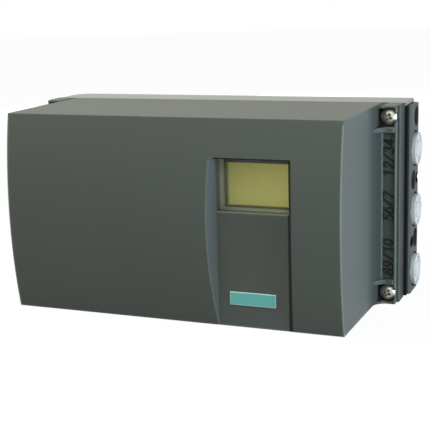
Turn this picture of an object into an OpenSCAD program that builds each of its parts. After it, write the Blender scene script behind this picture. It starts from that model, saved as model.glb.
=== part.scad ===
// Valve positioner: a deep curved hood over a shallow base, with an air manifold on the right
// side and a feedback shaft at the back.
// Millimetres. X runs right, Y runs to the back and Z runs up.
// The origin is on the shaft's axis, in the plane of the rear mounting face.

/* [Housing] */
// Width over the flanges
housing_w = 184.5; // [180:0.5:200]
// Height of hood and base
housing_h = 95; // [94:0.5:106]
// Depth of the base behind the seam
base_depth = 21; // [20.5:0.5:26]
// Thickness of the base's rear wall
base_floor = 5; // [4.5:0.25:6]
// Thickness of the base's top and bottom walls
base_wall = 3.5; // [3:0.25:4.5]
// Thickness of the base's left and right walls, which carry threads
side_wall = 12.25; // [11.5:0.25:13]
// Radius of the base's left rear corner
rear_corner_r = 8; // [3:0.5:10]
// Gap at the seam between hood and base
seam_gap = 0.1; // [0.05:0.05:0.3]

/* [Hood] */
// Depth of the hood, from the seam to its front edges
hood_depth = 68; // [66:0.5:76]
// How far a flange stands out past the hood's front edge
flange_out = 10.15; // [9.5:0.05:11]
// Widening of each side wall towards the back
hood_draft = 0.9; // [0:0.1:1.5]
// Height of the curved front's crown over its edges
front_bulge = 4.9; // [3:0.1:8]
// Wall thickness of the hood
hood_wall = 2.8; // [2:0.1:3]
// Depth of the side flanges
flange_depth = 14.2; // [12:0.2:18]
// Radius of the flare between side wall and flange
flare_r = 7; // [3:0.5:8]

/* [Flange details] */
// Distance of the cover screws from the flange's outer edge
screw_in_x = 3.95; // [3.6:0.05:4.4]
// Distance of the cover screws from the top and bottom edges
screw_in_z = 5.2; // [4.8:0.1:6]
// Diameter of the cover screws' heads
screw_head_d = 8; // [7:0.1:8.4]
// Height of the cover screws' heads
screw_head_h = 3.1; // [2:0.1:4]
// Thread diameter of the cover screws
screw_d = 4; // [3:0.1:4.5]
// How far the cover screws reach into the base
screw_grip = 5; // [4:0.1:5.4]
// Depth of a screw pocket below the flange's front
pocket_depth = 3.2; // [2:0.1:5]
// Room round a screw head in its pocket
pocket_room = 0.7; // [0.4:0.1:0.9]
// Thickness of the rib beside a screw pocket
rib_t = 2.4; // [1.2:0.1:3]
// How far a rib stands proud of the flange
rib_proud = 1.3; // [0.4:0.1:2.5]
// Depth of the long channel between the ribs
channel_depth = 1.2; // [0.5:0.1:2]
// Width of the long channel
channel_w = 5.4; // [4:0.1:6]
// Width of the rim outside the channel
rim_w = 0.85; // [0.7:0.05:1.2]
// How far the bead along a flange's side stands out
bead_out = 1.2; // [0.8:0.1:1.6]
// Distance of the bead behind the flange's front
bead_in = 4; // [3.6:0.1:5]

/* [Display recess] */
// Distance of the recess's middle from the hood's right front edge
recess_in = 41.25; // [40:0.05:46]
// Width of the recess floor
recess_w = 34.7; // [30:0.1:37]
// Depth of the recess floor behind the hood's front edges
recess_sink = 0.2; // [0.1:0.05:0.8]
// Distance of the recess's top from the housing's top
recess_drop = 17.8; // [16:0.1:20]
// Sideways lean of the left recess wall for each millimetre of depth
recess_lean_left = 0.65; // [0.1:0.05:0.9]
// Sideways lean of the right recess wall for each millimetre of depth
recess_lean_right = 0.25; // [0.05:0.05:0.9]
// Height of the window opening
window_h = 24; // [20:0.1:26]
// Depth of the pane behind the recess floor
pane_depth = 4.3; // [3:0.1:5]
// Thickness of the pane
pane_t = 1.7; // [1:0.1:2.5]
// Depth of the collar round the window
collar_depth = 10.4; // [8.5:0.1:10.6]
// Width of the step that holds the pane
rabbet = 1.5; // [1:0.1:2.5]
// Wall thickness of the collar
collar_wall = 1.6; // [1.2:0.1:2.5]
// Depth of the display's glass behind the recess floor
lcd_depth = 13; // [12.6:0.1:15]

/* [Manifold] */
// Distance the manifold's outer face stands off the housing's side
manifold_out = 3.45; // [3:0.05:6]
// Depth of the manifold, front to back
manifold_depth = 18; // [17.4:0.1:18.4]
// Distance of the manifold's lower end from the housing's bottom
manifold_in_z = 0.5; // [0.2:0.1:1.5]
// Thickness of the base's eave over the manifold
eave_t = 1.5; // [1:0.1:2]
// Thickness of the gasket behind the manifold
gasket_t = 0.5; // [0.3:0.1:0.8]
// How far the gasket's lip stands off the housing's side
lip_out = 2.25; // [1.5:0.05:2.7]
// Chamfer on the manifold's outer edges
manifold_chamfer = 0.9; // [0.3:0.1:1.2]
// Height that three port pitches leave over
port_ends = 4.4; // [3.8:0.1:6]
// Height of the lowest port over the housing's bottom
port_low = 11.2; // [11.1:0.1:12]
// Distance of the ports from the rear face
port_y = 8.6; // [8.4:0.1:9]
// Core diameter of a port's thread
port_d = 11.5; // [10:0.1:12]
// Wall of the spigot round a port
spigot_wall = 1.65; // [1:0.05:1.8]
// Diameter of the spot face round a port
spot_d = 17.4; // [16.4:0.1:18]
// Depth of the spot face
spot_depth = 1.5; // [0.5:0.1:2]
// Diameter of the manifold screws' counterbores
counterbore_d = 9.5; // [9:0.1:9.8]
// Diameter of the manifold screws' heads
manifold_head_d = 8.5; // [7:0.1:8.8]
// Thread diameter of the manifold screws
manifold_screw_d = 5; // [4:0.1:5.5]
// Depth of the counterbores
counterbore_depth = 10; // [8:0.5:11]
// Diameter of the throttle screws
throttle_d = 5.6; // [4:0.1:5.8]
// Depth of a throttle screw's end below the manifold's face
throttle_in = 5; // [2:0.5:6]
// Diameter of a dust cap's disc
cap_d = 15.6; // [14:0.1:16.2]
// How far a dust cap stands off the manifold's face
cap_out = 1.8; // [1:0.1:3]

/* [Shaft and gears] */
// Diameter of the feedback shaft
shaft_d = 8; // [6:0.1:9]
// Length of the shaft behind the rear face
shaft_out = 19; // [12:0.5:30]
// Depth of the flat on the shaft's free end
shaft_flat = 0.6; // [0.2:0.1:0.8]
// Length of the flat on the shaft's free end
flat_len = 9; // [6:0.5:10]
// Outer diameter of the shaft bush
bush_d = 12; // [11:0.1:14]
// Module of the gear teeth
gear_module = 1.1; // [1:0.05:1.2]
// Teeth of the sector gear, counted on a full circle
sector_teeth = 54; // [48:6:54]
// Teeth of the potentiometer gear
pinion_teeth = 18; // [18:2:20]
// Face width of the sector gear
gear_w = 6; // [4:0.5:6]
// Travel of the shaft to each side, degrees
shaft_travel = 50; // [30:1:52]
// Play between meshing teeth
backlash = 0.3; // [0.15:0.05:0.4]
// Diameter of the clutch wheel
wheel_d = 38; // [30:0.5:44]
// Thickness of the clutch wheel
wheel_w = 8; // [5:0.5:10]

/* [Rear mounting] */
// Distance between the mounting threads across the back
mount_w = 58; // [54:0.5:60]
// Distance between the mounting threads up the back
mount_h = 50; // [46:0.5:52]
// Core diameter of the mounting threads
mount_d = 6.8; // [5:0.1:7.5]
// Depth of the mounting threads
mount_depth = 9; // [6:0.5:10]

/* [Cable entries] */
// Core diameter of the cable entries' threads
entry_d = 14.5; // [12:0.5:15]
// Distance of the cable entries from the rear face
entry_y = 10.5; // [10.3:0.1:11.5]
// Distance of the entries from the housing's top and bottom
entry_in_z = 25.5; // [24:0.5:28]
// Diameter of the cable that the gland's seal holds
cable_d = 8; // [5:0.5:9]
// Width across flats of the gland and its nut
gland_flats = 20; // [18:0.5:20.4]

/* [Electronics] */
// Distance of the board's front behind the display's face
board_set = 11; // [10.4:0.2:13]
// Thickness of the board
board_t = 1.6; // [1:0.1:2]
// Distance of the board's left edge from the hood's front edge
board_in_left = 12.1; // [10:0.1:13]
// Distance of the board's right edge from the hood's front edge
board_in_right = 15.1; // [12:0.1:16]
// Distance of the board's edges from the housing's top and bottom
board_in_z = 8; // [6.5:0.1:8.5]
// Travel of the keys
key_travel = 1; // [0.5:0.1:1.2]
// Diameter of the keys
key_d = 8.4; // [6:0.1:9]
// Pitch of the keys
key_pitch = 13; // [11:0.5:14]
// Number of ways in a terminal block
terminal_ways = 6; // [4:1:6]
// Pitch of the terminals
terminal_pitch = 5.08; // [4:0.04:5.08]

/* [Fits] */
// Clearance of pieces that are pressed or set into a seat
seat_gap = 0.15; // [0.1:0.05:0.25]
// Radial clearance of a turning pin
run_gap = 0.03; // [0.02:0.01:0.06]

/* [Hidden] */
$fn = 64;
// Overshoot of a cut past the face that it opens
cut = 1;

// Housing planes
half_w = housing_w / 2;
half_h = housing_h / 2;
seam_y = -base_depth;
cover_back_y = seam_y - seam_gap;
flange_y = seam_y - flange_depth;
front_y = seam_y - hood_depth;
apex_y = front_y - front_bulge;
front_r = (half_h * half_h + front_bulge * front_bulge) / (2 * front_bulge);
floor_y = -base_floor;
inner_x = half_w - side_wall;
hood_half_front = half_w - flange_out;
hood_half_back = hood_half_front + hood_draft;

// Studs of 4 mm, and the play between a thread and its core bore
stud_r = 2;
thread_play = 0.05;

// Room between neighbours that don't touch
small_gap = 0.2;

// Cover screws
screw_x = half_w - screw_in_x;
screw_z = half_h - screw_in_z;
pocket_half = screw_head_d / 2 + pocket_room;
pocket_floor_y = flange_y + pocket_depth;
rib_z = screw_z - pocket_half - rib_t;
flange_wall = 2.4;
// Room round a screw head where its pocket breaks through the rim
head_room = 0.3;
// Wall over a screw pocket at the flange's top and bottom ends
pocket_end = 0.6;
// Bead along the flange's side, and the notch at its foot
bead_r = 1;
bead_y = flange_y + bead_in;
notch_w = 1.4;
notch_depth = 0.5;

// Seal cord between hood and base
seal_w = 1.8;
seal_h = 1.3;
seal_in = 0.5;
seal_play = 0.1;
seal_x = inner_x + seal_in + seal_w / 2;
seal_z = half_h - base_wall / 2 + seal_play;

// Display window, from the recess
recess_x = hood_half_front - recess_in;
recess_left = recess_x - recess_w / 2;
recess_right = recess_x + recess_w / 2;
recess_y = front_y + recess_sink;
recess_top_z = half_h - recess_drop;
window_top_z = recess_top_z - small_gap;
window_bottom_z = window_top_z - window_h;
pane_y = recess_y + pane_depth;
collar_y = recess_y + collar_depth;
lcd_y = recess_y + lcd_depth;

// Manifold planes
manifold_x = half_w + manifold_out;
plate_x = half_w + gasket_t;
manifold_front_y = -manifold_depth;
manifold_low_z = manifold_in_z - half_h;
manifold_top_z = half_h - eave_t - 2 * small_gap;
manifold_h = manifold_top_z - manifold_low_z;
lip_front_y = seam_y + small_gap;
eave_r = 2.5;
port_pitch = (housing_h - port_ends) / 3;
port_z = port_low - half_h + port_pitch;
spigot_r = port_d / 2 + spigot_wall;
spigot_x = inner_x + small_gap;
ports_z = [port_z + port_pitch, port_z, port_z - port_pitch];
// Screw and throttle places as [y, z], midway between the ports
screw_rear_y = -6.6;
screw_front_y = -12;
throttle_rear_y = -4.2;
throttle_front_y = -14.4;
// The rear screws stand a little above the middle
screw_rear_up = 0.4;
manifold_screw_at = [
    [screw_rear_y, port_z + 1.5 * port_pitch + screw_rear_up],
    [screw_front_y, port_z + 0.5 * port_pitch],
    [screw_rear_y, port_z - 0.5 * port_pitch + screw_rear_up]
];
throttle_at = [
    [throttle_rear_y, port_z + 0.5 * port_pitch],
    [throttle_front_y, port_z - 0.5 * port_pitch]
];
counterbore_x = manifold_x - counterbore_depth;
screw_boss_wall = 0.7;
screw_boss_end = 1.5;
screw_boss_r = counterbore_d / 2 + screw_boss_wall;
screw_boss_x = counterbore_x - screw_boss_end;
throttle_boss_wall = 0.7;
throttle_boss_r = throttle_d / 2 + throttle_boss_wall;
throttle_boss_end = 1;
throttle_boss_x = inner_x + throttle_boss_end;
throttle_end_x = throttle_boss_x + 1.5 * throttle_boss_end;
// Room at the end of a boss or spigot in its seat
end_gap = 0.1;
// Thread that holds a manifold screw starts this far inside the base's wall
screw_start = 0.6;
// Floor of an air port over its drilling
port_floor = 1.5;

// Wall round a mounting thread and at its blind end
mount_wall = 3.6;
mount_end = 3;

// Shaft and gears
shaft_r = shaft_d / 2;
bush_r = bush_d / 2;
boss_y = -14;
boss_r = bush_r + 4;
sector_y = boss_y - 2;
sector_r = gear_module * sector_teeth / 2;
pinion_r = gear_module * pinion_teeth / 2;
pinion_x = -(sector_r + pinion_r);
pressure_angle = 20;
hub_r = shaft_r + 4.5;
hub_len = 3;
spring_t = 1.6;
spring_y = sector_y - gear_w - hub_len - small_gap;
wheel_y = spring_y - spring_t - small_gap;
ring_t = 1.2;
ring_w = 2.4;
ring_y = wheel_y - wheel_w - small_gap;
shaft_past_ring = 2;
shaft_end_y = ring_y - ring_t - shaft_past_ring;
groove_depth = 0.6;
groove_play = 0.1;
bush_collar = 2;
bush_collar_t = 1;
// The rear ring and the shaft seal sit in the base's rear wall
ring_seat = 2;
seal_len = 2.4;
rear_ring_y = small_gap * 2 - ring_seat;
ring_at = [ring_y - ring_t, rear_ring_y];
bush_back_y = -ring_seat - seal_len - small_gap;
pot_r = 11;
pot_h = 8;
pot_neck = 2;
spindle_r = 2;
pot_neck_y = floor_y - pot_h - pot_neck;
pot_blind = 4;
pot_end_gap = 0.3;
pinion_past = 1;
spindle_past = 3;

// Electronics planes
boss_top_y = floor_y - 3;
board_y = lcd_y + board_set;
board_back_y = board_y + board_t;
board_left = hood_half_front - board_in_left;
board_right = hood_half_front - board_in_right;
board_half = half_h - board_in_z;
hole_in = 3.5;
hole_z = board_half - hole_in;
spacer_h = boss_top_y - board_back_y;
spacer_r = 4.6;
spacer_stud = 5;
spacer_boss_wall = 0.9;
board_hole_r = 1.6;
// Screws of 2.5 mm that hold the board and its cover
small_screw_d = 2.5;
small_head_d = 5.2;
small_core_r = 1.3;
board_screw_len = 9;
spacer_left = 8;
spacer_right = 27;
spacer_at = [for (x = [spacer_left - board_left, board_right - spacer_right], z = [-hole_z, hole_z]) [x, z]];
frame_margin = 2.9;
frame_lip = 0.8;
glass_margin = frame_margin - 1.2;
key_y = lcd_y + 1;
key_z = window_bottom_z - 13;
key_stem_r = 1.6;
switch_h = 4.5;
switch_w = 7;
panel_y = board_y - 5.2;
panel_t = 1.4;
panel_in = 27;
panel_room = 0.4;
leg_r = 3;
leg_screw_past = 2.5;
panel_left = panel_in - board_left;
leg_left = 6;
leg_right = 5;
leg_at = [for (x = [panel_left + leg_left, board_right - leg_right], z = [-hole_z, hole_z]) [x, z]];
terminal_x = -board_left + 2;
terminal_w = 20;
terminal_h = 12;
terminal_len = terminal_ways * terminal_pitch;
terminal_gap = 2.2;
wire_half = 1.5;
well_r = 1.7;
well_depth = 5;

// Pneumatics inside the housing
valve_w = 33.5;
valve_x = inner_x - valve_w;
valve_back_x = inner_x - 0.4;
valve_front_x = inner_x - 3.5;
valve_room = 3;
valve_half = half_h - base_wall - valve_room;
valve_depth = 35;
valve_y = floor_y - valve_depth;
valve_step_y = seam_y + 2;
valve_screw_in = 4;
valve_screw_head = 7;
valve_screw_at = [for (x = [valve_x + valve_screw_in, valve_front_x - valve_screw_in],
    z = [valve_screw_in - valve_half, valve_half - valve_screw_in]) [x, z]];
air_drill = 4.5;
vent_drill = 12;
valve_screw_end_y = floor_y + 3.5;
pilot_x = (valve_x + valve_front_x) / 2;
pilot_w = 20;
pilot_h = 24;
pilot_t = 12;
// Ribbon cable and its plugs, between the two pilot valves
plug_t = 6;
plug_half_w = 3.5;
plug_half_h = 7;
ribbon_half_t = 0.4;
ribbon_in = 1.5;
pilot_gap = 0.5;
pilot_z = plug_half_h + pilot_gap + pilot_h / 2;
vent_in = 18;
vent_at = [inner_x - vent_in, -20];
vent_r = 6;
vent_seat = 3.6;
vent_end_gap = 0.1;
vent_sunk = 0.3;

// Cable gland and blanking plug on the left side, as [y, z]
entry_z = half_h - entry_in_z;
gland_at = [-entry_y, -entry_z];
plug_at = [-entry_y, entry_z];
entry_washer = 0.5;
gland_face_x = -half_w - entry_washer;
gland_hex = 5;
gland_neck = 9;
gland_neck_r = entry_d / 2 + 0.6;
gland_neck_x = gland_face_x - gland_hex - gland_neck;
gland_neck_wall = 1.4;
gland_seal_len = 7;
gland_seal_out = 0.5;
gland_end = 0.5;
gland_gap = 0.1;
nut_gap = 0.3;
nut_x = gland_face_x - gland_hex - nut_gap;
nut_len = 13;
gland_bore_r = cable_d / 2 + 1.4;
// Blanking plug
plug_disc_t = 2.6;
plug_slot_w = 1.6;
plug_slot_depth = 1.4;
plug_end = 3;
plug_wall = 2;
// Earth screw and its clamp washer
ground_head_d = 7.6;
ground_head_h = 2.8;
ground_len = 8.6;
washer_t = 1.2;
washer_half = 4.5;

// A box between two corners
module box(low, high) {
    translate(low) cube(high - low);
}

// A round rod along Y, through x and z
module rod_y(r, from, to, at = [0, 0]) {
    translate([at[0], from, at[1]]) rotate([-90, 0, 0]) cylinder(r = r, h = to - from);
}

// A round rod along X, through y and z
module rod_x(r, from, to, at = [0, 0]) {
    translate([from, at[0], at[1]]) rotate([0, 90, 0]) cylinder(r = r, h = to - from);
}

// A flat ring along Y
module ring_along_y(outer, inner, from, to, at = [0, 0]) {
    difference() {
        rod_y(outer, from, to, at);
        rod_y(inner, from - cut, to + cut, at);
    }
}

// A flat ring along X
module ring_along_x(outer, inner, from, to, at = [0, 0]) {
    difference() {
        rod_x(outer, from, to, at);
        rod_x(inner, from - cut, to + cut, at);
    }
}

// A shape drawn in X and Z, carried along Y
module along_y(from, to) {
    translate([0, to, 0]) rotate([90, 0, 0]) linear_extrude(to - from) children();
}

// The outside of a rounded corner: a square with a quarter disc taken out
module corner(r) {
    difference() {
        square(r);
        circle(r);
    }
}

// A ring of rectangular cord with square corners, drawn in X and Z
module cord_frame(x, z, w) {
    difference() {
        square([2 * x + w, 2 * z + w], center = true);
        square([2 * x - w, 2 * z - w], center = true);
    }
}

// A pan head with a cross recess, pointing to -Y, seated at the origin
module pan_head_y(d, h) {
    slot_w = d / 7;
    slot_len = d * 0.55;
    difference() {
        rotate([90, 0, 0]) intersection() {
            cylinder(d = d, h = h + cut);
            translate([0, 0, h - d]) sphere(r = d);
        }
        for (turn = [0, 90])
            rotate([0, turn, 0])
                translate([-slot_len / 2, -h - cut, -slot_w / 2]) cube([slot_len, h * 0.55 + cut, slot_w]);
    }
}

// A small pan-head screw along Y: head on the plane y, shank towards +Y
module small_screw(at, y, d, head_d, len) {
    head_h = head_d * 0.38;
    translate([at[0], y, at[1]]) pan_head_y(head_d, head_h);
    rod_y(d / 2, y, y + len, at);
}

// Outline of the hood from above
module hood_outline() {
    side_trapezoid(0, cover_back_y);
    difference() {
        translate([-half_w, flange_y]) square([housing_w, cover_back_y - flange_y]);
        for (side = [0, 1])
            mirror([side, 0])
                translate([half_w - notch_depth, bead_y - notch_w]) square([notch_depth + cut, notch_w]);
    }
    for (side = [0, 1])
        mirror([side, 0]) {
            flare();
            flange_bead();
        }
}

// The bead along a flange's side: a bar with a round front corner
module flange_bead() {
    width = bead_out + cut;
    translate([half_w - cut, bead_y]) difference() {
        square([width, cover_back_y - bead_y]);
        translate([width - bead_r, bead_r]) mirror([0, 1]) corner(bead_r);
    }
}

// The flare between a side wall and its flange: its arc is sunk a little into both
module flare() {
    sink = 0.25;
    middle = [hood_half_back + flare_r - sink, flange_y - flare_r + sink];
    difference() {
        translate([hood_half_front - sink, middle[1]])
            square([middle[0] - hood_half_front + sink, flare_r + cut]);
        translate(middle) circle(flare_r);
    }
}

// The drafted side walls from above, moved in by an inset
module side_trapezoid(inset, back_y) {
    polygon([
        [-hood_half_front + inset, apex_y - cut], [hood_half_front - inset, apex_y - cut],
        [hood_half_back - inset, flange_y], [hood_half_back - inset, back_y],
        [-hood_half_back + inset, back_y], [-hood_half_back + inset, flange_y]
    ]);
}

// The barrel that gives the front its curve
module front_barrel(inset) {
    translate([0, apex_y + front_r, 0]) rotate([0, 90, 0])
        cylinder(r = front_r - inset, h = housing_w + 2 * cut, center = true, $fn = 200);
}

// The display recess, grown by a wall: slanted sides and a flat floor
module recess_shape(grow) {
    rise = front_bulge + cut;
    translate([0, 0, -half_h - cut])
        linear_extrude(recess_top_z + grow + half_h + cut)
            polygon([
                [recess_left - grow + recess_lean_left * grow, recess_y + grow],
                [recess_right + grow - recess_lean_right * grow, recess_y + grow],
                [recess_right + grow + recess_lean_right * rise, recess_y - rise],
                [recess_left - grow - recess_lean_left * rise, recess_y - rise]
            ]);
}

// The window's rectangle grown by a margin, between two depths
module window_box(margin, from, to) {
    box([recess_left - margin, from, window_bottom_z - margin],
        [recess_right + margin, to, window_top_z + margin]);
}

// Pockets, channel, screw holes and cored back of the right flange
module flange_cuts() {
    channel_x = half_w - rim_w - channel_w;
    for (side = [0, 1])
        mirror([0, 0, side]) {
            box([screw_x - pocket_half, flange_y - flare_r - cut, screw_z - pocket_half],
                [half_w - rim_w, pocket_floor_y, screw_z + pocket_half - pocket_end]);
            rod_y(screw_head_d / 2 + head_room, flange_y - flare_r - cut, pocket_floor_y, [screw_x, screw_z]);
            rod_y(screw_d / 2 + seat_gap, pocket_floor_y - cut, cover_back_y + cut, [screw_x, screw_z]);
        }
    box([channel_x, flange_y - flare_r - cut, -rib_z],
        [half_w - rim_w, flange_y + channel_depth, rib_z]);
    box([hood_half_back, flange_y + channel_depth + flange_wall, -rib_z],
        [half_w - flange_wall, cover_back_y + cut, rib_z]);
}

// The two ribs that close the ends of the right channel
module flange_ribs() {
    for (side = [0, 1])
        mirror([0, 0, side])
            box([hood_half_back - hood_wall / 2, flange_y - rib_proud, rib_z],
                [half_w - rim_w, flange_y + pocket_depth, rib_z + rib_t]);
}

module front_cover() {
    color("dimgray") difference() {
        union() {
            difference() {
                intersection() {
                    linear_extrude(housing_h, center = true) hood_outline();
                    front_barrel(0);
                }
                for (side = [0, 1])
                    mirror([side, 0, 0]) flange_cuts();
            }
            for (side = [0, 1])
                mirror([side, 0, 0]) flange_ribs();
        }
        difference() {
            intersection() {
                linear_extrude(housing_h - 2 * hood_wall, center = true)
                    side_trapezoid(hood_wall, cover_back_y + cut);
                front_barrel(hood_wall);
            }
            recess_shape(hood_wall);
            window_box(rabbet + collar_wall, recess_y, collar_y);
        }
        recess_shape(0);
        window_box(0, recess_y - cut, collar_y + cut);
        window_box(rabbet, pane_y, collar_y + cut);
    }
}

module cover_gasket() {
    color("black") along_y(seam_y + seal_play / 2, seam_y + seal_h) cord_frame(seal_x, seal_z, seal_w);
}

module cover_screws() {
    color("silver")
        for (x = [-screw_x, screw_x], z = [-screw_z, screw_z]) {
            translate([x, pocket_floor_y, z]) pan_head_y(screw_head_d, screw_head_h);
            rod_y(screw_d / 2, pocket_floor_y, seam_y + screw_grip, [x, z]);
        }
}

module window_pane() {
    color([0.8, 0.85, 0.85, 0.4]) window_box(rabbet - seat_gap, pane_y, pane_y + pane_t);
}

module window_seal() {
    color("gray") difference() {
        window_box(rabbet - seat_gap, pane_y + pane_t, collar_y);
        window_box(0, pane_y, collar_y + cut);
    }
}

// Base seen from above, with its round rear corner
module base_outline() {
    difference() {
        translate([-half_w, seam_y]) square([housing_w, base_depth]);
        translate([rear_corner_r - half_w, -rear_corner_r]) mirror([1, 0]) corner(rear_corner_r);
    }
}

// Bosses on the inside of the base's rear wall
module base_bosses() {
    rod_y(boss_r, boss_y, -cut);
    for (x = [-mount_w / 2, mount_w / 2], z = [-mount_h / 2, mount_h / 2])
        rod_y(mount_d / 2 + mount_wall, -mount_depth - mount_end, -cut, [x, z]);
    for (at = spacer_at)
        rod_y(spacer_r + spacer_boss_wall, boss_top_y, -cut, at);
}

// Eave over the manifold's top: a thin plate with a round rear corner
module manifold_eave() {
    translate([0, 0, half_h - eave_t]) linear_extrude(eave_t) difference() {
        translate([half_w - cut, seam_y]) square([bead_out + cut, base_depth]);
        translate([half_w + bead_out - eave_r, -eave_r]) corner(eave_r);
    }
}

// Threads and seats cut into the base from front and back
module base_front_back_cuts() {
    rod_y(bush_r + run_gap, boss_y - cut, cut);
    rod_y(shaft_r + ring_w + 3 * small_gap, -ring_seat, cut);
    for (x = [-mount_w / 2, mount_w / 2], z = [-mount_h / 2, mount_h / 2])
        rod_y(mount_d / 2, -mount_depth, cut, [x, z]);
    for (at = spacer_at)
        rod_y(stud_r + thread_play, boss_top_y - cut, boss_top_y + spacer_stud + small_gap, at);
    for (at = valve_screw_at)
        rod_y(stud_r + thread_play, floor_y - cut, valve_screw_end_y + small_gap, at);
    for (x = [-screw_x, screw_x], z = [-screw_z, screw_z])
        rod_y(screw_d / 2 + seat_gap, seam_y - cut, seam_y + screw_grip + small_gap, [x, z]);
    along_y(seam_y - cut, seam_y + seal_h + seal_play) cord_frame(seal_x, seal_z, seal_w + seal_play);
    rod_y(vent_r + seat_gap, -vent_seat, cut, vent_at);
    rod_y(vent_r / 2, floor_y - cut, cut, vent_at);
}

// Cable entries on the left and manifold seats on the right
module base_side_cuts() {
    for (z = [-entry_z, entry_z])
        rod_x(entry_d / 2, -half_w - cut, -inner_x + cut, [-entry_y, z]);
    rod_x(stud_r + thread_play, -half_w - cut, -half_w + ground_len + 2 * small_gap, [-entry_y, 0]);
    for (z = ports_z)
        rod_x(spigot_r + seat_gap, inner_x - cut, half_w + cut, [-port_y, z]);
    for (at = manifold_screw_at) {
        rod_x(screw_boss_r + seat_gap, screw_boss_x - end_gap, half_w + cut, at);
        rod_x(manifold_screw_d / 2 + thread_play, inner_x + screw_start, half_w, at);
    }
    for (at = throttle_at)
        rod_x(throttle_boss_r + seat_gap, throttle_boss_x - end_gap, half_w + cut, at);
}

module base_housing() {
    color("darkgray") difference() {
        union() {
            difference() {
                linear_extrude(housing_h, center = true) base_outline();
                box([-inner_x, seam_y - cut, base_wall - half_h], [inner_x, floor_y, half_h - base_wall]);
            }
            base_bosses();
            manifold_eave();
        }
        base_front_back_cuts();
        base_side_cuts();
    }
}

// Manifold seen from above: chamfered outer edges
module manifold_outline() {
    c = manifold_chamfer;
    polygon([
        [plate_x, manifold_front_y], [manifold_x - c, manifold_front_y],
        [manifold_x, manifold_front_y + c], [manifold_x, -2 * c], [manifold_x - 2 * c, 0], [plate_x, 0]
    ]);
}

module manifold_block() {
    color("gray") difference() {
        union() {
            translate([0, 0, manifold_low_z]) linear_extrude(manifold_h) manifold_outline();
            for (z = ports_z)
                rod_x(spigot_r, spigot_x, plate_x + cut, [-port_y, z]);
            for (at = manifold_screw_at)
                rod_x(screw_boss_r, screw_boss_x, plate_x + cut, at);
            for (at = throttle_at)
                rod_x(throttle_boss_r, throttle_boss_x, plate_x + cut, at);
        }
        for (z = ports_z) {
            rod_x(port_d / 2, spigot_x + port_floor, manifold_x + cut, [-port_y, z]);
            rod_x(port_d / 4, spigot_x - cut, manifold_x, [-port_y, z]);
            rod_x(spot_d / 2, manifold_x - spot_depth, manifold_x + cut, [-port_y, z]);
        }
        for (at = manifold_screw_at) {
            rod_x(counterbore_d / 2, counterbore_x, manifold_x + cut, at);
            rod_x(manifold_screw_d / 2 + seat_gap, screw_boss_x - cut, manifold_x, at);
        }
        for (at = throttle_at)
            rod_x(throttle_d / 2 + run_gap, throttle_end_x, manifold_x + cut, at);
    }
}

module manifold_gasket() {
    color("black") difference() {
        union() {
            box([half_w, lip_front_y, manifold_low_z], [plate_x, 0, manifold_top_z]);
            box([half_w, lip_front_y, manifold_low_z], [half_w + lip_out, manifold_front_y, manifold_top_z]);
        }
        for (z = ports_z)
            rod_x(spigot_r + seat_gap, half_w - cut, manifold_x, [-port_y, z]);
        for (at = manifold_screw_at)
            rod_x(screw_boss_r + seat_gap, half_w - cut, manifold_x, at);
        for (at = throttle_at)
            rod_x(throttle_boss_r + seat_gap, half_w - cut, manifold_x, at);
    }
}

module manifold_screws() {
    socket_d = manifold_screw_d * 0.92;
    color("dimgray")
        for (at = manifold_screw_at)
            difference() {
                union() {
                    rod_x(manifold_head_d / 2, counterbore_x, counterbore_x + manifold_screw_d, at);
                    rod_x(manifold_screw_d / 2, inner_x + screw_start + small_gap, counterbore_x + cut, at);
                }
                translate([counterbore_x + manifold_screw_d / 2, at[0], at[1]]) rotate([0, 90, 0])
                    cylinder(d = socket_d, h = manifold_screw_d, $fn = 6);
            }
}

// A slotted needle screw in its drilling
module throttle_screw(at) {
    end_x = manifold_x - throttle_in;
    needle = 1.6;
    slot_depth = 1.2;
    slot = [slot_depth + cut, throttle_d + cut, throttle_d / 5];
    difference() {
        union() {
            rod_x(throttle_d / 2, throttle_end_x + small_gap + needle, end_x, at);
            translate([throttle_end_x + small_gap, at[0], at[1]]) rotate([0, 90, 0])
                cylinder(r1 = throttle_d / 8, r2 = throttle_d / 3, h = needle);
        }
        translate([end_x - slot_depth, at[0] - slot[1] / 2, at[1] - slot[2] / 2]) cube(slot);
    }
}

module throttle_screw_upper() {
    color("goldenrod") throttle_screw(throttle_at[0]);
}

module throttle_screw_lower() {
    color("goldenrod") throttle_screw(throttle_at[1]);
}

// A hollow dust cap: disc in the spot face and a plug in the thread
module port_cap(z) {
    wall = 1.3;
    hollow = 0.7;
    seat_x = manifold_x - spot_depth + end_gap;
    face_x = manifold_x + cap_out;
    plug_r = port_d / 2 - seat_gap;
    plug_end_x = spigot_x + 2 * port_floor;
    difference() {
        union() {
            rod_x(cap_d / 2, seat_x, face_x, [-port_y, z]);
            rod_x(plug_r, plug_end_x, seat_x + cut, [-port_y, z]);
        }
        rod_x(plug_r - wall, plug_end_x - cut, seat_x - wall, [-port_y, z]);
        ring_along_x(cap_d / 2 - wall, cap_d / 4, face_x - hollow, face_x + cut, [-port_y, z]);
    }
}

module port_cap_upper() {
    color("white") port_cap(ports_z[0]);
}

module port_cap_middle() {
    color("white") port_cap(ports_z[1]);
}

module port_cap_lower() {
    color("white") port_cap(ports_z[2]);
}

module port_seals() {
    hole = 0.3;
    width = 1.2;
    color("black")
        for (z = ports_z)
            ring_along_x(port_d / 4 + hole + width, port_d / 4 + hole, valve_back_x, spigot_x, [-port_y, z]);
}

module feedback_shaft() {
    color("silver") difference() {
        rod_y(shaft_r, shaft_end_y, shaft_out);
        box([-shaft_d, shaft_out - flat_len, shaft_r - shaft_flat], [shaft_d, shaft_out + cut, shaft_d]);
        for (y = ring_at)
            ring_along_y(shaft_d, shaft_r - groove_depth, y - groove_play, y + ring_t + groove_play);
    }
}

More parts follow.
